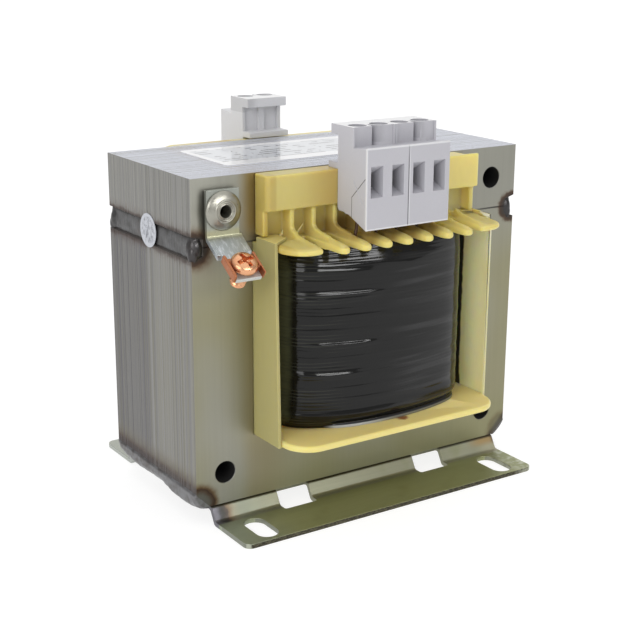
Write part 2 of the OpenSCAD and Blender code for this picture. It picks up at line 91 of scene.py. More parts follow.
class Mat:
    def __init__(self, name, **sockets):
        self.m = bpy.data.materials.new(name)
        self.m.use_nodes = True
        self.t = self.m.node_tree
        self.p = next(n for n in self.t.nodes if n.type == "BSDF_PRINCIPLED")
        self._co = None
        self.set(**sockets)

    def set(self, **sockets):
        for k, v in sockets.items():
            self.put(self.p.inputs[SOCKETS[k]], v)

    def put(self, sock, v):
        if isinstance(v, bpy.types.NodeSocket):
            self.t.links.new(v, sock)
        else:
            sock.default_value = v

    def node(self, kind, **props):
        x = self.t.nodes.new(kind)
        for k, v in props.items():
            setattr(x, k, v)
        return x

    def co(self):
        """Position on the object, in mm of the part's frame."""
        if self._co is None:
            tc = self.node("ShaderNodeTexCoord")
            self._co = self.vmath("MULTIPLY", tc.outputs["Object"], (1000.0, 1000.0, 1000.0))
        return self._co

    def normal(self):
        return self.node("ShaderNodeNewGeometry").outputs["Normal"]

    def vmath(self, op, a, b=(0, 0, 0)):
        x = self.node("ShaderNodeVectorMath", operation=op)
        self.put(x.inputs[0], a)
        self.put(x.inputs[1], b)
        return x.outputs["Value"] if op in ("LENGTH", "DISTANCE", "DOT_PRODUCT") else x.outputs["Vector"]

    def sep(self, v):
        x = self.node("ShaderNodeSeparateXYZ")
        self.put(x.inputs[0], v)
        return x.outputs

    def comb(self, x=0.0, y=0.0, z=0.0):
        n = self.node("ShaderNodeCombineXYZ")
        for i, v in enumerate((x, y, z)):
            self.put(n.inputs[i], v)
        return n.outputs[0]

    def math(self, op, a, b=0.0, clamp=False):
        x = self.node("ShaderNodeMath", operation=op, use_clamp=clamp)
        self.put(x.inputs[0], a)
        if len(x.inputs) > 1:
            self.put(x.inputs[1], b)
        return x.outputs[0]

    def noise(self, scale=1.0, detail=2.0, rough=0.5, stretch=(1, 1, 1), shift=(0, 0, 0), warp=0.0):
        """Noise in mm: scale is bumps per mm, stretch multiplies each axis."""
        v = self.vmath("MULTIPLY", self.co(), tuple(scale * s for s in stretch))
        if any(shift):
            v = self.vmath("ADD", v, shift)
        n = self.node("ShaderNodeTexNoise")
        self.put(n.inputs["Vector"], v)
        n.inputs["Scale"].default_value = 1.0
        n.inputs["Detail"].default_value = detail
        n.inputs["Roughness"].default_value = rough
        n.inputs["Distortion"].default_value = warp
        return n.outputs[0]

    def white(self, w):
        n = self.node("ShaderNodeTexWhiteNoise", noise_dimensions="1D")
        self.put(n.inputs["W"], w)
        return n.outputs["Value"]

    def step(self, v, a, b, lo=0.0, hi=1.0):
        n = self.node("ShaderNodeMapRange", interpolation_type="SMOOTHSTEP")
        self.put(n.inputs["Value"], v)
        for k, x in (("From Min", a), ("From Max", b), ("To Min", lo), ("To Max", hi)):
            n.inputs[k].default_value = x
        return n.outputs["Result"]

    def ramp(self, v, *stops):
        n = self.node("ShaderNodeValToRGB")
        self.put(n.inputs[0], v)
        els = n.color_ramp.elements
        while len(els) < len(stops):
            els.new(0.5)
        for el, (pos, col) in zip(els, stops):
            el.position = pos
            el.color = col if len(col) == 4 else (*col, 1)
        return n.outputs["Color"]

    def mix(self, fac, a, b, mode="MIX"):
        n = self.node("ShaderNodeMix", data_type="RGBA", blend_type=mode)
        self.put(n.inputs[0], fac)
        self.put(n.inputs[6], a)
        self.put(n.inputs[7], b)
        return n.outputs[2]

    def fmix(self, fac, a, b):
        n = self.node("ShaderNodeMix", data_type="FLOAT")
        self.put(n.inputs[0], fac)
        self.put(n.inputs[2], a)
        self.put(n.inputs[3], b)
        return n.outputs[0]

    def shade(self, col, v, lo, hi):
        """col times a grey that goes from lo to hi as v goes from 0 to 1."""
        k = self.step(v, 0.0, 1.0, lo, hi) if not isinstance(v, float) else v
        return self.mix(1.0, col, self.comb(k, k, k), "MULTIPLY")

    def bump(self, height, dist, strength=1.0, normal=None):
        """dist is the height in mm of a step from 0 to 1."""
        n = self.node("ShaderNodeBump")
        n.inputs["Strength"].default_value = strength
        n.inputs["Distance"].default_value = dist * MM
        self.put(n.inputs["Height"], height)
        if normal is not None:
            self.put(n.inputs["Normal"], normal)
        return n.outputs[0]

    def dist_line(self, ax, az):
        """Distance in mm from the two lines x = +-ax, z = az that run along y."""
        x, y, z = self.sep(self.co())
        dx = self.math("SUBTRACT", self.math("ABSOLUTE", x), ax)
        dz = self.math("SUBTRACT", z, az)
        return self.math("SQRT", self.math("ADD", self.math("MULTIPLY", dx, dx), self.math("MULTIPLY", dz, dz)))


def core_material(name, seed):
    m = Mat(name, metal=0.85, rough=0.45, spec=0.5)
    x, y, z = m.sep(m.co())
    nx, ny, nzz = m.sep(m.normal())
    ax = m.math("ABSOLUTE", x)
    face = m.step(m.math("ABSOLUTE", ny), 0.6, 0.8)        # front and rear sheet
    top = m.math("MULTIPLY", m.step(nzz, 0.6, 0.8), m.step(z, 80.0, 82.0))
    # cut edges: one tone per sheet, streaks along the sheet
    sheet = m.white(m.math("ADD", m.math("FLOOR", m.math("MULTIPLY", y, 2.0)), seed))
    pack = m.noise(0.33, 2.0, 0.6, (0.0, 1.0, 0.0), (seed, 0, 0))
    streak = m.noise(1.0, 3.0, 0.65, (0.03, 6.5, 0.03), (seed, 3, 1))
    cut = m.mix(pack, lin(139, 138, 135), lin(152, 151, 150))
    cut = m.shade(cut, sheet, 0.93, 1.04)
    odd = m.white(m.math("ADD", m.math("FLOOR", m.math("MULTIPLY", y, 2.0)), seed + 0.5))
    cut = m.shade(cut, m.step(odd, 0.80, 0.92), 1.0, 0.82)
    cut = m.shade(cut, streak, 0.80, 1.16)
    back_part = m.math("MULTIPLY", m.step(y, 1.1, 1.5), m.step(z, 66.6, 65.6))
    cut = m.mix(m.math("MULTIPLY", back_part, 0.9), cut, m.mix(1.0, cut, lin(206, 205, 212), "MULTIPLY"))
    # the tops of the sheets are ground, with fine streaks; they are painted much lighter than the sides, and lighter
    # still toward the right, partly for the ground steel and partly as painted reflection of the bright room overhead
    ground = m.noise(1.0, 3.0, 0.6, (0.05, 2.6, 0.05), (seed, 9, 1))
    cut = m.mix(top, cut, m.shade(m.shade(m.mix(pack, lin(206, 209, 222), lin(224, 227, 238)), m.step(x, 0.0, 26.0), 1.0, 1.07), ground, 0.90, 1.05))
    # flat of the outer sheet
    mott = m.noise(0.05, 3.0, 0.55, (1, 1, 1), (seed, 1, 7))
    rolled = m.noise(1.0, 3.0, 0.6, (1.4, 1.0, 0.02), (4, seed, 0))
    olive = m.math("MULTIPLY", m.step(z, 74.0, 50.0), m.step(m.noise(0.03, 2.0, 0.5, (1, 1, 0.6), (2, 7, seed)), 0.3, 0.62))
    flat = m.mix(mott, lin(148, 147, 137), lin(156, 156, 147))
    flat = m.mix(m.math("MULTIPLY", olive, 0.85), flat, lin(146, 142, 112))
    flat = m.shade(flat, rolled, 0.95, 1.04)
    green = m.math("MULTIPLY", m.step(z, 22.0, 7.0, 0.0, 0.42), m.step(x, -36.0, -10.0, 0.25, 1.0))
    flat = m.mix(green, flat, lin(138, 138, 98))
    # painted shadow: a dark band on the sheet just left of the earth tab
    beside = m.math("MULTIPLY", m.math("MULTIPLY", m.step(x, -46.6, -45.4), m.step(x, -44.2, -44.6)), m.math("MULTIPLY", m.step(z, 70.5, 72.5), m.step(z, 82.5, 80.0)))
    flat = m.mix(m.math("MULTIPLY", beside, 0.6), flat, lin(62, 60, 50))
    flat = m.shade(flat, m.math("MULTIPLY", m.step(x, 24.0, 34.0), m.step(z, 62.0, 68.0)), 1.0, 0.93)
    flat = m.shade(flat, m.math("MULTIPLY", m.step(x, -40.0, -44.0), m.step(z, 70.0, 74.0)), 1.0, 1.12)
    # painted reflection: the bobbin's yellow reflected in the sheet next to it
    glow = m.math("MULTIPLY", m.step(x, -36.4, -32.0), m.step(x, -20.0, -30.0))
    flat = m.mix(m.math("MULTIPLY", glow, m.step(z, 66.0, 74.0, 0.25, 0.8)), flat, lin(132, 110, 46))
    # joint between the two stacks, and the scorched chamfer at the right
    seam = m.math("MULTIPLY", m.step(m.math("ABSOLUTE", m.math("SUBTRACT", z, 68.6)), 0.30, 0.10), m.step(ax, 30.0, 31.0))
    flat = m.mix(m.math("MULTIPLY", seam, m.step(ax, 34.0, 44.0, 0.55, 0.95)), flat, lin(44, 42, 36))
    chamfer = m.math("DIVIDE", m.math("SUBTRACT", m.math("ADD", z, 39.8), x), 1.4142)
    flat = m.mix(m.step(chamfer, 2.3, 0.9, 0.0, 0.92), flat, lin(82, 78, 68))
    col = m.mix(face, cut, flat)
    # heat tint of the welds
    wob = m.math("MULTIPLY", m.math("SUBTRACT", m.noise(0.7, 2.0, 0.5, (1, 0.5, 1), (9, seed, 2)), 0.5), 1.5)
    d1 = m.math("ADD", m.dist_line(46.9, 68.4), wob)
    t1 = m.ramp(m.math("DIVIDE", d1, 9.0),
                (0.0, lin(52, 50, 50)), (0.30, lin(58, 50, 46)), (0.40, lin(70, 48, 36)), (0.48, lin(100, 78, 58)),
                (0.60, lin(128, 112, 92)), (0.8, lin(140, 134, 118)), (1.0, lin(142, 140, 126)))
    k1 = m.math("MULTIPLY", m.step(d1, 3.1, 6.2, 0.92, 0.0), m.step(m.math("ADD", d1, m.step(x, -5.0, 5.0, 0.0, 3.0)), 6.6, 7.8, 1.0, 0.0))
    side1 = m.step(d1, 3.0, 4.4, 0.75, 0.0)
    col = m.mix(m.fmix(face, side1, k1), col, t1)
    d2 = m.math("ADD", m.dist_line(47.4, 5.6), m.math("MULTIPLY", wob, 0.6))
    t2 = m.ramp(m.math("DIVIDE", d2, 9.0),
                (0.0, lin(96, 98, 98)), (0.30, lin(90, 88, 82)), (0.40, lin(74, 58, 46)), (0.46, lin(54, 36, 26)),
                (0.53, lin(98, 76, 52)), (0.66, lin(128, 118, 94)), (1.0, lin(142, 138, 116)))
    k2 = m.math("MULTIPLY", m.step(d2, 4.4, 6.4, 0.95, 0.0), m.step(x, -20.0, 20.0, 1.0, 0.45))
    t2s = m.ramp(m.math("DIVIDE", d2, 12.0), (0.0, lin(66, 60, 60)), (0.30, lin(70, 60, 60)), (0.5, lin(98, 86, 76)), (0.72, lin(126, 118, 102)), (1.0, lin(134, 131, 126)))
    k2s = m.step(d2, 4.2, 9.5, 0.72, 0.0)
    col = m.mix(m.fmix(face, k2s, k2), col, m.mix(face, t2s, t2))
    # painted shade: the walls of the bores are coloured near black, and not metal, for the shade inside them
    bz = m.math("SUBTRACT", m.math("ABSOLUTE", m.math("SUBTRACT", z, 44.6)), 32.0)
    bx = m.math("SUBTRACT", ax, 40.0)
    bore = m.math("SQRT", m.math("ADD", m.math("MULTIPLY", bx, bx), m.math("MULTIPLY", bz, bz)))
    wall = m.step(m.math("ABSOLUTE", ny), 0.75, 0.55)
    recess_shade = m.math("MULTIPLY", m.step(bore, 3.3, 2.95), wall)
    recess_shade = m.math("MULTIPLY", recess_shade, m.step(m.math("ABSOLUTE", y), 21.45, 21.1))
    col = m.mix(recess_shade, col, lin(10, 10, 9))
    rough = m.fmix(face, m.step(streak, 0.2, 0.8, 0.44, 0.60), m.step(mott, 0.3, 0.7, 0.42, 0.50))
    rough = m.fmix(top, rough, m.step(ground, 0.2, 0.8, 0.25, 0.36))
    rough = m.fmix(recess_shade, rough, 0.9)
    h = m.fmix(face, m.math("ADD", m.math("MULTIPLY", streak, 0.6), m.math("MULTIPLY", sheet, 0.4)),
               m.math("ADD", m.math("MULTIPLY", rolled, 0.10), m.math("MULTIPLY", m.noise(0.09, 2.0), 1.0)))
    m.set(base=col, rough=rough, metal=m.fmix(recess_shade, 0.85, 0.0), normal=m.bump(h, 0.035, 0.6))
    return m.m


def weld_material(name, tone, dark, rough, seam=False):
    m = Mat(name, metal=0.7, rough=rough, spec=0.6)
    grain = m.noise(1.3, 3.0, 0.55)
    slag = m.noise(0.4, 3.0, 0.6, (1, 1, 1), (5, 2, 9))
    col = m.mix(m.step(slag, 0.35, 0.7), tone, dark)
    col = m.shade(col, grain, 0.82, 1.14)
    tint = m.step(m.noise(0.22, 2.0, 0.5, (1, 1, 1), (1, 8, 3)), 0.55, 0.8, 0.0, 0.35)
    col = m.mix(tint, col, lin(78, 66, 60))
    if seam:
        x, y, z = m.sep(m.co())
        wob = m.math("MULTIPLY", m.math("SUBTRACT", m.noise(0.5, 2.0, 0.5, (1, 1, 0.4), (2, 9, 4)), 0.5), 1.2)
        off = m.math("ADD", m.math("ABSOLUTE", m.math("SUBTRACT", z, 68.45)), wob)
        col = m.mix(m.step(off, 1.9, 2.8, 0.0, 0.8), col, lin(46, 42, 40))
        col = m.mix(m.step(y, -18.6, -20.6, 0.0, 0.6), col, lin(66, 62, 62))
        col = m.shade(col, m.step(x, 0.0, 5.0), 1.0, 0.7)
    m.set(base=col, rough=m.step(grain, 0.2, 0.8, rough - 0.08, rough + 0.1), normal=m.bump(grain, 0.03, 0.4))
    return m.m


def foot_material():
    m = Mat("passivated_rail", metal=0.55, rough=0.36, spec=0.5)
    x, y, z = m.sep(m.co())
    nx, ny, nzz = m.sep(m.normal())
    ay = m.math("ABSOLUTE", y)
    cloud = m.noise(0.07, 3.0, 0.6, (1, 1.6, 1))
    streak = m.noise(1.0, 3.0, 0.6, (0.04, 2.2, 2.2))
    col = m.mix(cloud, lin(136, 140, 96), lin(150, 153, 112))
    web = m.step(ay, 25.6, 24.6)
    col = m.mix(web, col, m.mix(cloud, lin(134, 135, 112), lin(150, 150, 130)))
    col = m.shade(col, streak, 0.92, 1.06)
    irid = m.step(m.noise(0.12, 2.0, 0.5, (1, 1, 1), (3, 3, 3)), 0.55, 0.75, 0.0, 0.4)
    col = m.mix(irid, col, lin(122, 126, 84))
    # greyer toward the left end
    col = m.mix(m.math("MULTIPLY", m.step(x, -26.0, -42.0, 0.0, 0.7), m.step(y, 0.0, -1.0)), col, lin(142, 151, 138))
    # sheared edges are darker and rough
    edge = m.math("MULTIPLY", m.step(m.math("ABSOLUTE", ny), 0.85, 0.95), m.step(ay, 38.0, 38.3))
    shear = m.noise(1.2, 3.0, 0.6, (1, 1, 4))
    col = m.mix(edge, col, m.mix(m.step(shear, 0.42, 0.6), lin(46, 43, 32), lin(92, 88, 68)))
    # heat colour beside the welds, strongest at the front left
    hotx = m.math("ADD", m.math("MULTIPLY", x, -1.0), m.math("MULTIPLY", m.math("SUBTRACT", m.noise(0.5), 0.5), 2.0))
    hot = m.ramp(m.math("DIVIDE", m.math("SUBTRACT", hotx, 32.9), 10.0),
                 (0.0, lin(150, 149, 128)), (0.55, lin(156, 149, 128)), (0.70, lin(128, 106, 84)), (0.78, lin(66, 48, 46)), (0.85, lin(40, 31, 36)), (0.91, lin(52, 46, 56)), (1.0, lin(104, 100, 112)))
    col = m.mix(m.math("MULTIPLY", web, m.step(hotx, 35.0, 40.0, 0.0, 0.85)), col, hot)
    straw = m.math("MULTIPLY", web, m.step(x, 36.0, 42.0, 0.0, 0.7))
    col = m.mix(straw, col, lin(172, 167, 142))
    col = m.shade(col, m.math("MULTIPLY", web, m.step(x, 34.0, 20.0)), 1.0, 0.86)
    tan = m.math("MULTIPLY", m.math("MULTIPLY", web, m.step(x, 34.0, 40.0)), m.step(z, 2.0, 3.6, 0.0, 0.75))
    col = m.mix(tan, col, lin(160, 128, 74))
    # painted shadow: a dark line along the top of the web, under the core's bottom edge
    col = m.mix(m.math("MULTIPLY", web, m.step(z, 3.9, 4.35, 0.0, 0.85)), col, lin(44, 40, 24))
    char = m.vmath("DISTANCE", m.co(), (44.6, -22.8, 4.2))
    col = m.mix(m.step(m.math("ADD", char, m.math("MULTIPLY", m.noise(0.9), 1.4)), 1.6, 2.8, 0.9, 0.0), col, lin(50, 40, 44))
    # painted light: faces on the flanges that look left are paler
    col = m.mix(m.math("MULTIPLY", m.step(nx, -0.25, -0.6, 0.0, 0.65), m.step(ay, 26.0, 27.0)), col, lin(182, 184, 170))
    # painted shade on the walls of the slots and windows
    wall = m.math("MULTIPLY", m.step(m.math("ABSOLUTE", nzz), 0.5, 0.3), m.math("MULTIPLY", m.step(ay, 37.6, 37.4), m.step(ay, 26.4, 26.8)))
    col = m.shade(col, wall, 1.0, 0.55)
    # pale worn patches at the right end, pale rear rail
    worn = m.math("MULTIPLY", m.step(x, 36.0, 44.0), m.step(m.noise(0.35, 3.0, 0.6, (1, 1, 1), (6, 1, 4)), 0.42, 0.58))
    col = m.mix(m.math("MULTIPLY", worn, m.step(web, 0.5, 0.4, 0.0, 0.8)), col, lin(196, 198, 178))
    col = m.mix(m.step(y, 0.0, 1.0, 0.0, 0.85), col, m.mix(cloud, lin(168, 172, 166), lin(186, 190, 184)))
    m.set(base=col, rough=m.fmix(edge, m.step(cloud, 0.3, 0.7, 0.30, 0.42), 0.6),
          normal=m.bump(m.math("ADD", m.math("MULTIPLY", cloud, 0.8), m.math("MULTIPLY", shear, edge)), 0.05, 0.5))
    return m.m


def bobbin_material():
    m = Mat("bobbin_nylon", rough=0.36, spec=0.45, sss=0.9, sss_scale=0.0022, ior=1.5)
    m.p.inputs["Subsurface Radius"].default_value = (1.0, 0.86, 0.34)
    x, y, z = m.sep(m.co())
    cloud = m.noise(0.045, 3.0, 0.5)
    flow = m.noise(0.35, 3.0, 0.55, (1, 1, 0.5), (2, 6, 1))
    col = m.mix(cloud, lin(219, 203, 122), lin(226, 212, 134))
    col = m.shade(col, flow, 0.96, 1.03)
    # painted shade: the low, inner corners of the comb cells are darkened brown, and on the right they are painted
    # lighter instead, to lift the shade there
    recess_shade = m.math("MULTIPLY", m.step(z, 78.0, 69.5), m.step(m.math("ABSOLUTE", y), 27.5, 23.0))
    col = m.mix(m.math("MULTIPLY", recess_shade, m.step(x, 11.0, 15.0, 0.38, 0.0)), col, lin(172, 138, 66))
    col = m.mix(m.math("MULTIPLY", recess_shade, m.step(x, 11.0, 15.0, 0.0, 0.75)), col, lin(246, 236, 190))
    nx, ny, nzz = m.sep(m.normal())
    # painted shade: on the comb and carrier, faces that look up are darker
    col = m.shade(col, m.math("MULTIPLY", m.step(nzz, 0.5, 0.85), m.step(z, 66.0, 66.5)), 1.0, 0.86)
    col = m.shade(col, m.step(z, 24.0, 22.5), 1.0, 1.14)
    col = m.mix(m.step(z, 24.0, 22.5, 0.0, 0.35), col, lin(238, 218, 156))
    col = m.mix(m.math("MULTIPLY", m.step(x, -28.4, -29.2), m.step(z, 64.0, 66.0, 0.0, 0.45)), col, lin(186, 158, 72))
    # painted light: the carrier strip is lighter at the right, for the light from that side
    col = m.shade(col, m.math("MULTIPLY", m.step(z, 75.5, 76.5), m.step(x, 10.0, 14.0)), 1.0, 1.14)
    col = m.mix(m.math("MULTIPLY", m.step(y, 21.6, 22.0), m.step(z, 75.5, 76.5, 0.0, 0.6)), col, lin(232, 222, 172))
    # darker toward the terminals on the carrier's left
    col = m.mix(m.math("MULTIPLY", m.math("MULTIPLY", m.step(x, -25.0, -12.0), m.step(x, -9.0, -12.0)), m.step(z, 75.5, 76.5, 0.0, 0.55)), col, lin(196, 158, 82))
    col = m.shade(col, m.math("MULTIPLY", m.step(z, 75.5, 76.5), m.step(x, 0.0, -4.0)), 1.0, 0.90)
    # brown shade under the terminals
    under = m.math("MULTIPLY", m.math("MULTIPLY", m.step(z, 73.5, 71.0), m.step(z, 66.0, 67.0)), m.step(m.math("ABSOLUTE", x), 14.5, 12.0))
    under = m.math("MULTIPLY", under, m.step(m.math("ABSOLUTE", y), 38.5, 34.5))
    col = m.mix(m.math("MULTIPLY", under, 0.6), col, lin(140, 100, 40))
    spot = m.vmath("DISTANCE", m.co(), (2.7, -35.0, 22.3))
    burn = m.step(m.math("ADD", spot, m.math("MULTIPLY", m.noise(1.1), 1.8)), 1.7, 2.9, 0.9, 0.0)
    col = m.mix(burn, col, lin(136, 66, 18))
    fine = m.noise(2.2, 2.0, 0.5)
    m.set(base=col, rough=m.step(flow, 0.3, 0.7, 0.30, 0.42),
          normal=m.bump(m.math("ADD", m.math("MULTIPLY", flow, 1.0), m.math("MULTIPLY", fine, 0.12)), 0.05, 0.5))
    return m.m


def shield_material(name, tone, tone2, glow, right=False):
    m = Mat(name, rough=0.5, spec=0.4, sss=glow, sss_scale=0.0016)
    m.p.inputs["Subsurface Radius"].default_value = (1.0, 0.8, 0.35)
    cloud = m.noise(0.08, 3.0, 0.6, (1, 1, 0.25))
    fibre = m.noise(1.0, 4.0, 0.65, (3.0, 3.0, 0.35))
    x, y, z = m.sep(m.co())
    nx, ny, nzz = m.sep(m.normal())
    col = m.mix(cloud, tone, tone2)
    if right:
        # painted light: this sheet is paler toward its back and its top, to lift the shade of the winding and the comb,
        # and its front edge face is painted darker
        col = m.mix(m.step(y, -31.9, -24.0), m.mix(cloud, lin(230, 224, 176), lin(236, 230, 184)), col)
        col = m.mix(m.step(z, 54.0, 64.0, 0.0, 0.9), col, lin(255, 250, 222))
        col = m.shade(col, m.step(ny, -0.5, -0.8), 1.0, 0.82)
        col = m.mix(m.step(z, 66.2, 67.2, 0.0, 0.9), col, lin(222, 204, 130))
        # painted shadow: a dark band on the inner face of the sheet, beside the winding's edge, for the shade in the
        # narrow space there
        gap = m.math("ADD", y, m.math("MULTIPLY", m.math("SUBTRACT", m.noise(0.25, 2.0, 0.5, (0.1, 0.1, 1)), 0.5), 1.4))
        gap = m.math("MULTIPLY", m.step(gap, -22.5, -21.9, 0.0, 0.95), m.math("MULTIPLY", m.step(nx, -0.5, -0.8), m.step(z, 66.0, 65.0)))
        col = m.mix(gap, col, lin(26, 25, 16))
    col = m.mix(m.math("MULTIPLY", m.step(nzz, 0.6, 0.8), m.step(z, 68.0, 68.6, 0.0, 0.9)), col, lin(214, 197, 122))
    col = m.shade(col, fibre, 0.94, 1.04)
    m.set(base=col, rough=m.step(fibre, 0.3, 0.7, 0.42, 0.56), normal=m.bump(fibre, 0.03, 0.5))
    return m.m


FILM_U = 35.3          # where the film shows on the wrap's right flank, mm across the view


def wrap_material():
    m = Mat("black_tape", rough=0.16, spec=0.30, ior=1.5)
    x, y, z = m.sep(m.co())
    line = m.noise(1.0, 3.0, 0.6, (0.012, 0.012, 1.5))
    smear = m.noise(0.12, 3.0, 0.55, (0.35, 0.35, 1.2), (3, 1, 2))
    col = m.mix(smear, lin(8, 8, 7), lin(20, 20, 20))
    # painted reflection: the left end of the glossy tape is olive, the pale shield next to it reflected
    left = m.step(x, -24.8, -26.0)
    col = m.mix(m.math("MULTIPLY", left, 0.9), col, lin(84, 86, 64))
    col = m.shade(col, line, 0.8, 1.15)
    # turns that show through the tape; the tops of the turns are painted lighter, as painted sheen
    turn = m.math("FRACT", m.math("ADD", m.math("DIVIDE", m.math("ADD", z, m.math("MULTIPLY", x, 0.02)), 0.86), m.math("MULTIPLY", m.noise(0.3, 2.0, 0.5, (0.12, 0.12, 1)), 0.6)))
    crest_sheen = m.step(m.math("ABSOLUTE", m.math("SUBTRACT", turn, 0.5)), 0.22, 0.06)
    where = m.math("MULTIPLY", m.step(x, -9.0, -24.0), m.step(m.noise(0.5, 2.0, 0.6, (0.10, 0.10, 1.0), (8, 3, 1)), 0.40, 0.62))
    col = m.mix(m.math("MULTIPLY", m.math("MULTIPLY", crest_sheen, where), 0.55), col, lin(60, 61, 52))
    # painted sheen: lighter bands in the tape right of the middle, where the tape creases
    fold_sheen = m.noise(1.0, 2.0, 0.5, (0.02, 0.02, 0.62), (12, 4, 6))
    col = m.mix(m.math("MULTIPLY", m.step(x, -4.0, 8.0), m.step(fold_sheen, 0.48, 0.66, 0.0, 0.7)), col, lin(54, 54, 55))
    # clear film: a wavy strip on the right flank and the edge that looks out below the tape
    wav = m.math("MULTIPLY", m.math("SUBTRACT", m.noise(0.22, 2.0, 0.5, (0.1, 0.1, 1)), 0.5), 1.6)
    u = m.math("ADD", m.math("SUBTRACT", m.math("MULTIPLY", x, 0.8328), m.math("MULTIPLY", y, 0.5536)), wav)
    flank = m.math("MULTIPLY", m.step(u, FILM_U, FILM_U + 0.25), m.step(y, 6.0, 5.0))
    col = m.mix(flank, col, m.mix(line, lin(26, 25, 16), lin(58, 56, 40)))
    # painted shadow: a black line beyond the film strip, for the dark space between the wrap and the shield
    col = m.mix(m.math("MULTIPLY", m.step(u, FILM_U + 0.72, FILM_U + 0.86), m.step(y, 6.0, 5.0)), col, lin(6, 6, 5))
    span = m.math("MULTIPLY", m.step(x, -18.0, -15.0), m.step(x, 27.0, 22.0))
    band = m.math("MULTIPLY", m.step(m.math("ADD", z, m.math("MULTIPLY", wav, 0.15)), 22.95, 22.75), m.step(y, 0.0, -1.0))
    film = m.mix(m.step(x, -10.0, 4.0), m.mix(smear, lin(150, 152, 152), lin(215, 217, 217)), m.mix(smear, lin(86, 82, 66), lin(150, 148, 136)))
    col = m.mix(m.math("MULTIPLY", band, span), col, film)
    rough = m.step(m.math("ADD", m.math("MULTIPLY", smear, 0.7), m.math("MULTIPLY", line, 0.3)), 0.3, 0.7, 0.07, 0.19)
    fine = m.noise(1.0, 2.0, 0.5, (0.02, 0.02, 3.2), (7, 7, 7))
    m.set(base=col, rough=rough, normal=m.bump(m.math("ADD", m.math("MULTIPLY", line, 1.0), m.math("MULTIPLY", fine, 0.3)), 0.04, 0.6))
    return m.m


